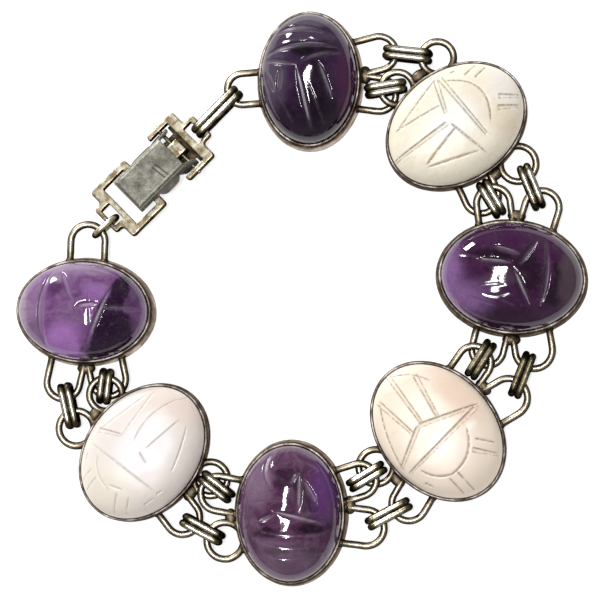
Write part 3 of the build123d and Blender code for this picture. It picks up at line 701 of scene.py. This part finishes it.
# The amethysts are polished and partly clear, so they show sharp lights over violet depths: the first is
# bright with one dark band, the third plum with milky veils, the fifth dusky with a light end, and the
# seventh nearly black. All the stones carry painted glow in their zones, and most a painted sheen near the
# rim. The pale quartz is clouded all through and worn to satin: white, rose and cream.
STONE_FINISH = {
    1: engraved_stone(
        "amethyst_clear_and_banded", "764680", "24082a", "b67eca", "a48ea8", "8a6a92", 0.25, 0.45, 0.15
    ),
    2: engraved_stone(
        "quartz_milky_white", "ebe1da", "e8d2c4", "e6e1e6", "f0e6d4", "94897a", 0.10, 0.2, 0.30, SATIN
    ),
    3: engraved_stone("amethyst_veiled", "532a4c", "240a20", "68387e", "8c748c", "80647f", 0.25, 0.45, 0.35),
    4: engraved_stone(
        "quartz_rose", "f5e6d2", "ecd0bc", "fffaf0", "f4e2d2", "84694f", 0.10, 0.3, 0.30, SATIN
    ),
    5: engraved_stone("amethyst_dusky", "3e1540", "1a0418", "9068a0", "56444e", "5e4460", 0.20, 0.25),
    6: engraved_stone(
        "quartz_cream", "f3ead6", "e0ccb0", "efebe8", "f8eed6", "725e46", 0.10, 0.25, 0.45, SATIN
    ),
    7: engraved_stone("amethyst_deep", "2e1036", "0c030e", "4e1c48", "5a5160", "544458", 0.15, 0.25, 0.2),
}

# Stones: a grid pressed into a dome, carved along its lines, on leaning sides

STONE_COLUMNS = 220
STONE_ROWS = 170
SIDE_ROWS = (0.4, 1.0)  # the rows of points down the sides, as shares of their height
MILKY = 2  # the stone whose lines are faint
FLAT_SHARE = 0.8  # the grid is even out to here and then closes up towards the steep rim
RUN_ON = 0.06  # a tapering line is drawn this much longer at each end
GROOVE_FLANK = (0.35, 1.1)  # the sides of a groove, as shares of its half width
NARROWEST = 0.02
TWIN_START = 1.15  # how far apart a pair's lines begin, and how much they close in by its end
TWIN_CLOSES = 0.5
CROWN_LUMPS = 3.5  # a hand-cut dome is uneven over this length, by up to this height
CROWN_WOBBLE = 0.05
ZONE_WARP = 0.05  # how far the edges of the colour zones wander, as a share of the stone
GRIME_AND_SHADE_REACH = 0.45  # how far up the stone from the bezel's rim the dirt and painted shade reach

# How the lines of each stone are ground: half width and depth of the groove, how soon it runs out towards its
# ends, and where the dark drawn line lies from its middle, how wide and how strong. A pair of fine lines on a
# pale stone is one groove with both edges drawn, wider apart at its start. A stroke hardly cuts the polish.
Ground = namedtuple("Ground", "half depth taper apart fine strong")
SOFT_GROOVE = Ground(0.52, 0.26, 2.6, 0.0, 0.30, 0.60)
EDGED_GROOVE = Ground(0.34, 0.12, 12.0, 0.26, 0.085, 0.85)
FINE_LINE = Ground(0.22, 0.09, 6.0, 0.0, 0.105, 0.90)
FAINT_LINE = Ground(0.16, 0.06, 6.0, 0.0, 0.08, 0.55)
STROKE = Ground(0.26, 0.06, 2.6, 0.0, 0.20, 0.45)


def ground_for(number, cut):
    if cut in STROKES.get(number, []):
        return STROKE
    if STONES[number].kind is AMETHYST:
        return SOFT_GROOVE
    if cut.twin:
        return EDGED_GROOVE
    return FAINT_LINE if number == MILKY else FINE_LINE


def dome_heights(kind, reach):
    """Height of the dome at each share of the way out from its middle."""
    steps = np.linspace(0, 1, 400)
    left = 1 - steps
    top = kind.rim_height + kind.dome
    shoulder = kind.rim_height + STONE_FULLNESS * kind.dome
    start, lower, upper, end = left**3, 3 * left**2 * steps, 3 * left * steps**2, steps**3
    out = start + lower + upper * STONE_FULLNESS
    up = kind.rim_height * start + lower * shoulder + upper * top + end * top
    return np.interp(reach, out[::-1], up[::-1])


def line_points(stone, cut):
    """Points along an engraved line in the stone's plan."""
    start = np.array((cut.x1 * stone.half_length, cut.y1 * stone.half_width))
    end = np.array((cut.x2 * stone.half_length, cut.y2 * stone.half_width))
    run = end - start
    left = np.array((-run[1], run[0]))
    steps = np.linspace(-RUN_ON, 1 + RUN_ON, 2 if cut.bow == 0 else 14)[:, None]
    return start + run * steps + left * cut.bow * 4 * steps * (1 - steps)


def measure_line(plan, line):
    """How far each point of the plan is from a line of points, and how far along it that is, from 0 to 1."""
    nearest = np.full(len(plan), 1e9)
    along = np.zeros(len(plan))
    pieces = len(line) - 1
    for index, (start, end) in enumerate(zip(line[:-1], line[1:])):
        run = end - start
        share = np.clip(((plan - start) @ run) / (run @ run), 0, 1)
        distance = np.hypot(*(plan - start - share[:, None] * run).T)
        along = np.where(distance < nearest, (index + share) / pieces, along)
        nearest = np.minimum(nearest, distance)
    return nearest, along


def carve(number, plan):
    """How deep each point of the plan is cut, and how much of the dark drawn line it carries."""
    stone = STONES[number]
    depth = np.zeros(len(plan))
    drawn = np.zeros(len(plan))
    for cut in CUTS[number] + STROKES.get(number, []):
        ground = ground_for(number, cut)
        distance, along = measure_line(plan, line_points(stone, cut))
        ends = 1 - np.abs(2 * along - 1) ** ground.taper
        half = np.maximum(ground.half * ends, NARROWEST)
        depth = np.maximum(depth, ground.depth * ends * (1 - ease(*GROOVE_FLANK, distance / half)))
        line = bell(distance, ground.apart * (TWIN_START - TWIN_CLOSES * along), ground.fine)
        drawn = np.maximum(drawn, ground.strong * line * np.minimum(ends * 2, 1))
    return depth, drawn


def paint_zones(mesh, zones, shares):
    """Paint how strongly each point lies in the zones of each kind: darker colour, painted glow, and milky
    haze that near the rim is a painted sheen. Shares are the points' places.
    """
    for name in ("deep", "glow", "haze_and_sheen"):
        amount = np.zeros(len(shares))
        for zone in zones:
            if zone.adds != name:
                continue
            turn = radians(zone.turn)
            away = shares - (zone.x, zone.y)
            across_x = (away[:, 0] * cos(turn) + away[:, 1] * sin(turn)) / zone.half_x
            across_y = (away[:, 1] * cos(turn) - away[:, 0] * sin(turn)) / zone.half_y
            inside = 1 - ease(1 - zone.soft, 1 + zone.soft, np.hypot(across_x, across_y))
            amount = 1 - (1 - amount) * (1 - zone.strength * inside)
        paint(mesh, name, amount)


def make_stone(number):
    stone = STONES[number]
    kind = stone.kind
    bm = bmesh.new()
    bmesh.ops.create_grid(bm, x_segments=STONE_COLUMNS, y_segments=STONE_ROWS, size=1)
    crown_count = len(bm.verts)
    border = [edge for edge in bm.edges if edge.is_boundary]
    for drop in SIDE_ROWS:
        verts, border = grow(bm, border)
        for vert in verts:
            vert.co.z = -drop
    bmesh.ops.edgeloop_fill(bm, edges=border)
    mesh = mesh_of(bm, f"stone_{number}")

    points = points_of(mesh)
    square = points[:, :2]
    disc = square * np.sqrt(1 - square[:, ::-1] ** 2 / 2)
    spread = np.maximum(np.hypot(*disc.T), 1e-9)
    slope = 2 / (1 + FLAT_SHARE)
    closing = 1 - slope / (2 * (1 - FLAT_SHARE)) * (1 - spread) ** 2
    reach = np.where(spread < FLAT_SHARE, slope * spread, closing)
    unit = disc * (np.clip(reach, 0, 1) / spread)[:, None]
    side = points[:, 2]
    crown = np.arange(len(points)) < crown_count
    side_height = kind.rim_height + side * (kind.rim_height - SEAT_HEIGHT)
    height = np.where(crown, dome_heights(kind, np.clip(np.hypot(*unit.T), 0, 1)), side_height)
    unit = unit * np.where(crown, 1, 1 - side * STONE_LEAN)[:, None]
    plan = unit * (stone.half_length, stone.half_width)

    depth, drawn = carve(number, plan)
    depth = np.where(crown, depth, 0)
    points = np.column_stack([plan, height])
    uneven = wander(points, CROWN_LUMPS, number) * CROWN_WOBBLE
    inward = ease(1.0, 0.85, np.hypot(*unit.T))
    points[:, 2] += np.where(crown, (uneven - depth) * inward, 0)
    move_points(mesh, points)

    above_rim = points[:, 2] - kind.rim_height
    deepest = SOFT_GROOVE.depth if kind is AMETHYST else EDGED_GROOVE.depth
    # Dirt, and painted shade of the bezel's lip, on the stone just above the rim
    paint(mesh, "grime_and_shade", 0.9 * (1 - ease(0.05, GRIME_AND_SHADE_REACH, above_rim)))
    paint(mesh, "cut", depth / deepest)
    paint(mesh, "edge", np.where(crown, drawn, 0))
    warp = [wander(points, 1.6, number + shift, 4) * ZONE_WARP for shift in (50, 60)]
    paint_zones(mesh, ZONES[number], unit + np.column_stack(warp))
    put_in_scene(f"stone_{number}", mesh, seat(number), STONE_FINISH[number])


# Settings: an oval wall with a ledge, round wire loops and lumps of solder, all of one piece

WALL_STEPS = 168
WIRE_SIDES = 20
BEND_STEPS = 36
LEG_STEPS = 10
FOOT_R = 0.64  # solder round a leg's foot, and how far back from the face of the wall its middle lies
FOOT_BACK = 0.42
SOLDER_SPREAD = (1.0, 1.5, 0.6, 1.0)  # the solder between two loops is a low web, wider than it is deep

# How uneven each part of a setting is: by how much, and over what length
UNEVEN = {"wall": (0.02, 2.0), "wire": (0.025, 1.2), "foot": (0.04, 0.9), "web": (0.05, 0.9)}

LUMP_SHINE = 0.75  # lumps of solder are duller than the wire, and so are the wire's ends at the wall
ROOT_SHINE = 0.50
ROOT_LENGTH = 1.6
LOW_ON_WALL = (0.50, 0.88)  # the painted reflection on the wall fades between these shares of its height
RIM_LINE = (0.07, 0.01)  # the rim's painted highlight on bare metal starts this far below its top, and is full here


def wall_offsets(stone, height):
    """How far the wall's two faces stand outside the stone's rim oval, along and across, at a height."""
    kind = stone.kind
    outer = kind.base_wall + (kind.rim_wall - kind.base_wall) * height / kind.rim_height
    share = 1 - (height - SEAT_HEIGHT) / (kind.rim_height - SEAT_HEIGHT)
    lean = STONE_LEAN * min(max(share, 0), 1)
    return outer, (lean * stone.half_length + STONE_GAP, lean * stone.half_width + STONE_GAP)


def wall_outline(stone):
    """The wall's section from its outer foot to its inner: offset from the stone's rim oval, and height."""
    kind = stone.kind
    rim = kind.rim_height
    wall = kind.rim_wall
    lean = sum(wall_offsets(stone, SEAT_HEIGHT)[1]) / 2
    ledge = lean - SEAT_WIDTH
    face = [
        (wall_offsets(stone, share * rim)[0], share * rim) for share in (0.15, 0.3, 0.45, 0.6, 0.75, 0.88)
    ]
    rolled_rim = [(wall + 0.01, rim - 0.12), (wall - 0.05, rim - 0.03), (wall - 0.12, rim), (0.14, rim)]
    inside = [(0.08, rim - 0.04), (0.06, rim - 0.12), (0.06 + (lean - 0.06) * 0.3, rim * 0.72)]
    seat_ledge = [(lean, SEAT_HEIGHT), (ledge + 0.06, SEAT_HEIGHT), (ledge, SEAT_HEIGHT - 0.06)]
    return [
        (kind.base_wall - 0.08, 0.0),
        (kind.base_wall, 0.07),
        *face,
        *rolled_rim,
        *inside,
        *seat_ledge,
        (ledge, 0.06),
        (ledge + 0.06, 0.0),
    ]


def oval_bezel(stone):
    """The wall: its outline carried round the stone."""
    bm = bmesh.new()
    ring = bmesh.ops.create_circle(bm, segments=WALL_STEPS, radius=1)["verts"]
    edges = list({edge for vert in ring for edge in vert.link_edges})
    angles = {vert: atan2(vert.co.y, vert.co.x) for vert in ring}
    first_edges = edges
    for row, (offset, height) in enumerate(wall_outline(stone)):
        if row:
            ring, edges = grow(bm, edges)
            angles = {vert: angle_before(vert, angles) for vert in ring}
        for vert, angle in angles.items():
            across = (stone.half_length + offset) * cos(angle)
            vert.co = Vector((across, (stone.half_width + offset) * sin(angle), height))
    bmesh.ops.bridge_loops(bm, edges=first_edges + edges)
    return bm


def angle_before(vert, angles):
    """The angle of the point in the ring before that this one was drawn out from."""
    return next(angles[edge.other_vert(vert)] for edge in vert.link_edges if edge.other_vert(vert) in angles)


def wire_loop(number, loop):
    """A round wire bent to a U, or a whole ring where it stands close to the wall, in its setting's frame."""
    bm = bmesh.new()
    middle, upright = (0, 0, 0), (0, 0, 1)
    if loop.standoff < LEGGED_BEYOND:
        start = Matrix.Translation((loop.radius, 0, 0)) @ Matrix.Rotation(radians(90), 4, "X")
        bmesh.ops.create_circle(bm, segments=WIRE_SIDES, radius=WIRE_R, matrix=start)
        whole = {"angle": 2 * pi, "steps": 2 * BEND_STEPS, "use_merge": True}
        bmesh.ops.spin(bm, geom=bm.edges[:], cent=middle, axis=upright, **whole)
    else:
        foot = loop.standoff + LOOP_BURY
        start = Matrix.Translation((-foot, -loop.radius, 0)) @ Matrix.Rotation(radians(90), 4, "Y")
        bmesh.ops.create_circle(bm, segments=WIRE_SIDES, radius=WIRE_R, matrix=start)
        edges = draw_out(bm, bm.edges[:], Vector((foot, 0, 0)), LEG_STEPS)
        edges = bend(bm, edges, middle, upright, pi, BEND_STEPS)
        draw_out(bm, edges, Vector((-foot, 0, 0)), LEG_STEPS)
    bmesh.ops.remove_doubles(bm, verts=bm.verts, dist=DOUBLE)
    bmesh.ops.holes_fill(bm, edges=[edge for edge in bm.edges if edge.is_boundary])
    bmesh.ops.transform(bm, matrix=loop_place(number, loop), verts=bm.verts)
    return bm


def solder_lump(place, radius):
    bm = bmesh.new()
    bmesh.ops.create_icosphere(bm, subdivisions=4, radius=radius, matrix=place)
    return bm


def keep_out_of_seat(points, stone):
    """Press what reaches into the wall onto the middle of its thickness, out of sight behind the stone."""
    for point in points:
        outer, (lean_x, lean_y) = wall_offsets(stone, point[2])
        half_x = stone.half_length + (outer + lean_x) / 2
        half_y = stone.half_width + (outer + lean_y) / 2
        share = hypot(point[0] / half_x, point[1] / half_y)
        if share < 1:
            point[:2] /= max(share, 0.05)


def leg_feet(number, loop):
    """Where a loop's two legs meet the wall, in the setting's frame."""
    frame_of_loop = loop_place(number, loop)
    half = loop.radius
    if loop.standoff < LEGGED_BEYOND:
        half = sqrt(max(loop.radius**2 - loop.standoff**2, 0))
    return [frame_of_loop @ Vector((-loop.standoff - FOOT_BACK, side * half, 0)) for side in (-1, 1)]


def setting_parts(number):
    """The wall, wire loops and solder of a setting, each with what it is."""
    loops = LOOPS[number]
    parts = [(oval_bezel(STONES[number]), "wall")]
    for loop in loops.values():
        parts.append((wire_loop(number, loop), "wire"))
        for foot in leg_feet(number, loop):
            parts.append((solder_lump(Matrix.Translation(foot), FOOT_R), "foot"))
    for pair in (("last_inner", "last_outer"), ("inner", "outer")):
        if pair[0] in loops:
            first, second = (loops[name] for name in pair)
            between = Loop((first.angle + second.angle) / 2, SOLDER_STANDOFF, 0, first.level)
            web = loop_place(number, between) @ Matrix.Diagonal(SOLDER_SPREAD)
            parts.append((solder_lump(web, SOLDER_R), "web"))
    return parts


def make_setting(number):
    stone = STONES[number]
    kind = stone.kind
    joined = bmesh.new()
    made_of = []
    for seed, (bm, part) in enumerate(setting_parts(number)):
        bmesh.ops.recalc_face_normals(bm, faces=bm.faces)
        mesh = mesh_of(bm, "part_of_setting")
        points = points_of(mesh)
        wobble, size = UNEVEN[part]
        shift = wander(points, size, seed + number * 10) * wobble
        points += normals_of(mesh) * shift[:, None]
        points[:, 2] = np.maximum(points[:, 2], 0)
        if part != "wall":
            keep_out_of_seat(points, stone)
        move_points(mesh, points)
        joined.from_mesh(mesh)
        made_of += [part] * len(points)
        bpy.data.meshes.remove(mesh)
    mesh = mesh_of(joined, f"setting_{number}")
    is_wall, is_wire, is_foot, is_web = (np.array(made_of) == part for part in UNEVEN)
    is_lump = is_foot | is_web

    points = points_of(mesh)
    out = normals_of(mesh)
    facing_out = ((points[:, :2] * out[:, :2]).sum(axis=1) > 0) | (out[:, 2] > 0.5)
    streaks = wander(points * (1, 1, 0.25), 0.5, number + 30)
    patches = ease(-0.25, 0.35, wander(points, 3.0, number + 70))
    low_down = 1 - ease(*LOW_ON_WALL, points[:, 2] / kind.rim_height)
    # The wall's outer face carries a painted reflection, brightest low down and in patches, and scuffed
    # streaks
    wall = stone.wall_shine * (0.50 + 0.35 * patches) * low_down + 0.20 * streaks
    wall = np.where(facing_out, wall, 0.0)
    # Wire and solder are brighter where they face up and darker on their sides: wear, and painted light and
    # shade
    rubbed_and_lit = 0.85 * ease(0.55, 1.0, out[:, 2]) + 0.12 * wander(points, 1.5, number + 90)
    length, width = stone.half_length + kind.base_wall, stone.half_width + kind.base_wall
    from_wall = (np.hypot(points[:, 0] / length, points[:, 1] / width) - 1) * width
    root = ROOT_SHINE + (1 - ROOT_SHINE) * ease(0, ROOT_LENGTH, from_wall)
    rubbed_and_lit *= np.where(is_lump, LUMP_SHINE, 1) * root
    paint(mesh, "wear_and_painted_light", np.where(is_wall, wall, rubbed_and_lit))
    # A bright line along the rim's top: bare metal, and a painted highlight
    begins, full = (kind.rim_height - below for below in RIM_LINE)
    broken = 0.25 + 0.45 * ease(-0.3, 0.3, wander(points, 2.2, number + 80)) + 0.3 * streaks
    paint(mesh, "bare_and_highlight", np.where(is_wall, ease(begins, full, points[:, 2]) * broken, 0))
    paint(mesh, "solder", np.select([is_lump, is_wire], [0.8, 0.7], 0.0))
    put_in_scene(f"setting_{number}", mesh, seat(number), bezel_silver)


# Links: a strip with two rounded ridges, bent to a tall closed link

RIDGE_STEPS = 10
LINK_CORNER_STEPS = 8
CLASP_LINK_SHINE = 0.75


def strip_outline():
    """Across the strip, from one lower edge over both ridges to the other. X across, Y outwards."""
    aside = STRIP_WIDTH / 2 - RIDGE_R
    rise = STRIP_THICKNESS - RIDGE_R
    foot = atan2(-rise, sqrt(RIDGE_R**2 - rise**2))
    valley = atan2(sqrt(RIDGE_R**2 - aside**2), -aside)
    points = []
    for step in range(RIDGE_STEPS + 1):
        angle = foot + (valley - foot) * step / RIDGE_STEPS
        points.append((aside + RIDGE_R * cos(angle), rise + RIDGE_R * sin(angle)))
    return points + [(-x, y) for x, y in reversed(points[:-1])]


def make_link(name, length, place, seed, shine):
    half_x = length / 2 - STRIP_THICKNESS - LINK_BEND_R
    half_z = LINK_ROOM / 2 - LINK_BEND_R
    bm = bmesh.new()
    base = half_z + LINK_BEND_R
    verts = [bm.verts.new((-half_x, across, base + out)) for across, out in strip_outline()]
    edges = [bm.edges.new((verts[i], verts[(i + 1) % len(verts)])) for i in range(len(verts))]
    corners = [(half_x, half_z), (half_x, -half_z), (-half_x, -half_z), (-half_x, half_z)]
    runs = [(2 * half_x, 0), (0, -2 * half_z), (-2 * half_x, 0), (0, 2 * half_z)]
    for (corner_x, corner_z), (run_x, run_z) in zip(corners, runs):
        edges = draw_out(bm, edges, Vector((run_x, 0, run_z)), 8 if run_x else 4)
        edges = bend(bm, edges, (corner_x, 0, corner_z), (0, 1, 0), pi / 2, LINK_CORNER_STEPS)
    mesh = merged_mesh(bm, name)
    points = points_of(mesh)
    points += normals_of(mesh) * (wander(points, 1.3, seed) * 0.025)[:, None]
    outward = (np.maximum(np.abs(points[:, axis]) - half, 0) for axis, half in ((0, half_x), (2, half_z)))
    rise = np.hypot(*outward) - LINK_BEND_R
    # Ridge tops are brighter, from wear and painted light; the ends are painted darker, as a dark reflection
    ridge = ease(0.35, 0.60, rise) * ease(0.2, 0.8, normals_of(mesh)[:, 2])
    near_end = ease(half_x - 0.5, half_x + 0.4, np.abs(points[:, 0]))
    move_points(mesh, points)
    paint(mesh, "wear_and_painted_light", shine * ridge * (1 - 0.8 * near_end))
    put_in_scene(name, mesh, place, strip_silver)


def gap_link_place(before, side):
    row = LINKS[(before, side)]
    start = seat(before) @ loop_place(before, LOOPS[before][side]).translation
    end = seat(before + 1) @ loop_place(before + 1, LOOPS[before + 1]["last_" + side]).translation
    run = end - start
    middle = (start + end) / 2
    turned = Matrix.Rotation(atan2(run.y, run.x), 4, "Z")
    return (
        Matrix.Translation((middle.x, middle.y, CHAIN_HEIGHT + row.lift))
        @ turned
        @ Matrix.Translation((row.along, row.aside, 0))
        @ Matrix.Rotation(radians(row.turn), 4, "Z")
        @ Matrix.Rotation(radians(row.pitch), 4, "Y")
        @ Matrix.Rotation(radians(row.roll), 4, "X")
    )


def make_jump_ring():
    bend_r = (JUMP_HEIGHT - 2 * JUMP_WIRE_R) / 2
    half_x = (JUMP_LENGTH - JUMP_HEIGHT) / 2
    bm = bmesh.new()
    start = Matrix.Translation((-half_x, 0, bend_r)) @ Matrix.Rotation(radians(90), 4, "Y")
    bmesh.ops.create_circle(bm, segments=WIRE_SIDES, radius=JUMP_WIRE_R, matrix=start)
    edges = bm.edges[:]
    for way in (1, -1):
        edges = draw_out(bm, edges, Vector((way * 2 * half_x, 0, 0)), 3)
        edges = bend(bm, edges, (way * half_x, 0, 0), (0, 1, 0), pi, 24)
    x, y, turn = JUMP_RING_PLACE
    mesh = merged_mesh(bm, "jump_ring")
    # Brighter where it faces up and darker on its sides: wear, and painted light and shade
    paint(mesh, "wear_and_painted_light", ease(0.35, 0.85, normals_of(mesh)[:, 2]))
    put_in_scene("jump_ring", mesh, plan_place(x, y, CHAIN_HEIGHT, turn), wire_silver)


# Clasp: copies of the part's own solids, remeshed finely so that their edges are softened and rubbed. The
# tongue gains a plate under the hinge window, a strip that closes the window's end and a squarer knuckle.
# The plate and the strip are painted dark, as the shade under the lever.

CLASP_VOXEL = 0.085
KNUCKLE_START = 1.5  # where the knuckle begins, along the clasp
KNUCKLE_FADE = 0.4
PLATE_TOP = -0.68
PLATE_BOTTOM = -1.13
LEVER_EDGE = 0.65  # how far up the normal points where a painted highlight runs along the lever's edge
SCRATCH_STARTS = (-1.55, -0.95)  # two scratches across the lever
SCRATCH_SLANT = -0.12
SCRATCH_HALF = 0.08
SCRATCH_MIDDLE = -0.9
SCRATCH_REACH = 1.2

# What is added to a piece: its run along the clasp, its half width, and its bottom and top
Fill = namedtuple("Fill", "start end half bottom top")
TONGUE_FILLS = [
    Fill(0.80, 4.05, 2.4, PLATE_BOTTOM, PLATE_TOP),
    Fill(1.65, 3.55, 1.1, -0.90, 1.00),
    Fill(3.75, 4.60, 3.6, PLATE_BOTTOM, PLATE_TOP),
]


def softened_copy(name, fills):
    """The part's own solid in the clasp's frame, with what is added, as one even mesh with worn edges."""
    bm = bmesh.new()
    bm.from_mesh(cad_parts[name].data)
    bmesh.ops.remove_doubles(bm, verts=bm.verts, dist=1e-7)
    bmesh.ops.transform(bm, matrix=CLASP_FRAME.inverted() @ Matrix.Scale(1 / MM, 4), verts=bm.verts)
    for fill in fills:
        size = Matrix.Diagonal((fill.end - fill.start, 2 * fill.half, fill.top - fill.bottom, 1))
        middle = Matrix.Translation(((fill.start + fill.end) / 2, 0, (fill.bottom + fill.top) / 2))
        bmesh.ops.create_cube(bm, size=1, matrix=middle @ size)
    rough = mesh_of(bm, name + "_merged")
    holder = new_object(name + "_remeshed", rough)
    remesh = holder.modifiers.new("even_mesh", "REMESH")
    remesh.mode = "VOXEL"
    remesh.voxel_size = CLASP_VOXEL
    soften = holder.modifiers.new("worn_edges", "SMOOTH")
    soften.factor = 0.5
    soften.iterations = 4
    graph = bpy.context.evaluated_depsgraph_get()
    mesh = bpy.data.meshes.new_from_object(holder.evaluated_get(graph))
    bpy.data.objects.remove(holder)
    bpy.data.meshes.remove(rough)
    return mesh


def clasp_wear(mesh):
    """How bright each point is, from wear and painted light, and how bare it is with a painted highlight,
    from how far it stands out and how much it faces up.
    """
    points = points_of(mesh)
    normals = normals_of(mesh)
    around = np.zeros_like(points)
    count = np.zeros(len(points))
    ends = np.empty(len(mesh.edges) * 2, np.int32)
    mesh.edges.foreach_get("vertices", ends)
    ends = ends.reshape(-1, 2)
    for one, other in ((0, 1), (1, 0)):
        np.add.at(around, ends[:, one], points[ends[:, other]])
        np.add.at(count, ends[:, one], 1)
    stands_out = ((points - around / np.maximum(count, 1)[:, None]) * normals).sum(axis=1)
    edge = ease(0.004, 0.016, stands_out)
    return 0.5 * ease(0.2, 0.9, normals[:, 2]) + 0.3 * edge, 0.85 * ease(0.007, 0.018, stands_out)


def make_clasp_piece(name, material, body="chain"):
    mesh = softened_copy(name, TONGUE_FILLS if name == "clasp_tongue" else [])
    wear_and_painted_light, bare_and_highlight = clasp_wear(mesh)
    points = points_of(mesh)
    if name == "clasp_tongue":
        # Past the knuckle's start, what lies below the hinge is painted dark as shade; the plates are hardly
        # bare
        past = ease(KNUCKLE_START - KNUCKLE_FADE, KNUCKLE_START, points[:, 0])
        wear_and_painted_light += past * np.where(points[:, 2] > 0, 0.08, -0.6)
        bare_and_highlight *= np.where(points[:, 2] > PLATE_TOP + 0.3, 1, 0.1)
    if name == "clasp_lever":
        # The lever's sides are painted bright, as a reflection, and a painted highlight runs along its edge
        upward = normals_of(mesh)[:, 2]
        wear_and_painted_light += 0.85 * (1 - ease(0.2, 0.7, upward))
        bare_and_highlight = np.maximum(bare_and_highlight, 0.9 * bell(upward, LEVER_EDGE, 0.2) * (points[:, 2] > 0))
        for start in SCRATCH_STARTS:
            line = bell(points[:, 0], start + SCRATCH_SLANT * points[:, 1], SCRATCH_HALF)
            wear_and_painted_light -= 0.4 * line * (np.abs(points[:, 1] - SCRATCH_MIDDLE) < SCRATCH_REACH)
    paint(mesh, "wear_and_painted_light", wear_and_painted_light)
    paint(mesh, "bare_and_highlight", bare_and_highlight)
    put_in_scene(name, mesh, CLASP_FRAME, material, body=body)


# The pieces

for number in STONES:
    make_stone(number)
    make_setting(number)
for seed, ((before, side), row) in enumerate(LINKS.items()):
    place = gap_link_place(before, side)
    make_link(f"link_{side}_{before}{before + 1}", row.length, place, seed, row.shine)
x, y, turn = CLASP_LINK_PLACE
place = plan_place(x, y, CHAIN_HEIGHT, turn)
make_link("clasp_link", CLASP_LINK_LENGTH, place, 40, CLASP_LINK_SHINE)
make_jump_ring()
for name in ("clasp_catch_frame", "clasp_hinge_frame", "clasp_pin", "clasp_tongue"):
    make_clasp_piece(name, clasp_silver)
make_clasp_piece("clasp_lever", lever_silver, "lever")

# Floor, light and camera

FLOOR_DROP = 0.02 * MM  # so that the settings' undersides and the paper are not one surface
FLOOR_HALF = 1.5
PAPER_GLOW = 0.80
SKY = [(0.50, 0.22), (0.68, 0.30), (0.85, 0.20), (0.98, 0.14)]  # its brightness from the horizon to overhead
CAMERA_PLACE = Vector((26.0, -18.5, 418.0)) * MM
CAMERA_AIM = Vector((-0.15, -0.27, 0.0)) * MM
CAMERA_ROLL = 0.083
VIEW_WIDTH = 83.3 * MM  # across the picture at the surface
SENSOR = 36.0


def paper_floor():
    """Matt white paper that glows a little, so that shadows on it are faint."""
    material, add = new_material("white_paper_matt")
    place = add("TexCoord").outputs["Object"]
    tooth = add("TexNoise", {"Vector": place, "Scale": per_mm(1.5), "Detail": 3.0})
    grey = add("ValToRGB", {"Fac": tooth}, stops=[(0.0, "a4a3a1"), (1.0, "aaa9a7")])
    glow = {"Emission Color": linear("ffffff"), "Emission Strength": PAPER_GLOW}
    sheet = add("BsdfPrincipled", {"Base Color": grey, "Roughness": 0.9, **glow})
    add("OutputMaterial", {"Surface": sheet})
    bm = bmesh.new()
    bmesh.ops.create_grid(bm, x_segments=4, y_segments=4, size=FLOOR_HALF)
    floor = new_object("floor", mesh_of(bm, "floor"))
    floor.data.materials.append(material)
    floor.location.z = -FLOOR_DROP


def soft_box(name, place, width, height, power, turn=0.0):
    """A rectangular soft light that faces the bracelet."""
    lamp = bpy.data.lights.new(name, "AREA")
    lamp.shape = "RECTANGLE"
    lamp.size = width
    lamp.size_y = height
    lamp.energy = power
    holder = new_object(name, lamp)
    holder.location = place
    holder.rotation_mode = "QUATERNION"
    aimed = (-Vector(place)).to_track_quat("-Z", "Y")
    holder.rotation_quaternion = aimed @ Matrix.Rotation(radians(turn), 3, "Z").to_quaternion()


def make_camera():
    data = bpy.data.cameras.new("camera")
    data.sensor_width = SENSOR
    back = CAMERA_PLACE - CAMERA_AIM
    data.lens = SENSOR * back.length / VIEW_WIDTH
    data.clip_start = 0.01
    data.clip_end = 10
    camera = new_object("camera", data)
    away = back.normalized()
    right = Vector((0, 1, 0)).cross(away).normalized()
    up = away.cross(right)
    level = Matrix((right, up, away)).transposed().to_4x4()
    roll = Matrix.Rotation(radians(CAMERA_ROLL), 4, "Z")
    camera.matrix_world = Matrix.Translation(CAMERA_PLACE) @ level @ roll
    bpy.context.scene.camera = camera


def make_studio():
    """A dim room, a long narrow light overhead and a window: the two lights that the stones reflect."""
    world = bpy.data.worlds.new("studio")
    world.use_nodes = True
    world.node_tree.nodes.clear()
    add = partial(add_node, world.node_tree)
    way = add("TexCoord").outputs["Generated"]
    height = add("SeparateXYZ", {"Vector": way}).outputs["Z"]
    level = add("MapRange", {"Value": height, "From Min": -1.0, "From Max": 1.0})
    glow = add("ValToRGB", {"Fac": level}, stops=SKY)
    light = add("Background", {"Color": glow, "Strength": 1.0})
    add("OutputWorld", {"Surface": light})
    bpy.context.scene.world = world
    soft_box("overhead", place=(-0.18, 0.0, 2.0), width=0.06, height=0.75, power=24.5, turn=78)
    soft_box("window", place=(-0.82, 1.12, 0.60), width=0.26, height=0.42, power=20.0)


paper_floor()
make_studio()
make_camera()
bpy.context.scene.view_settings.view_transform = "Standard"
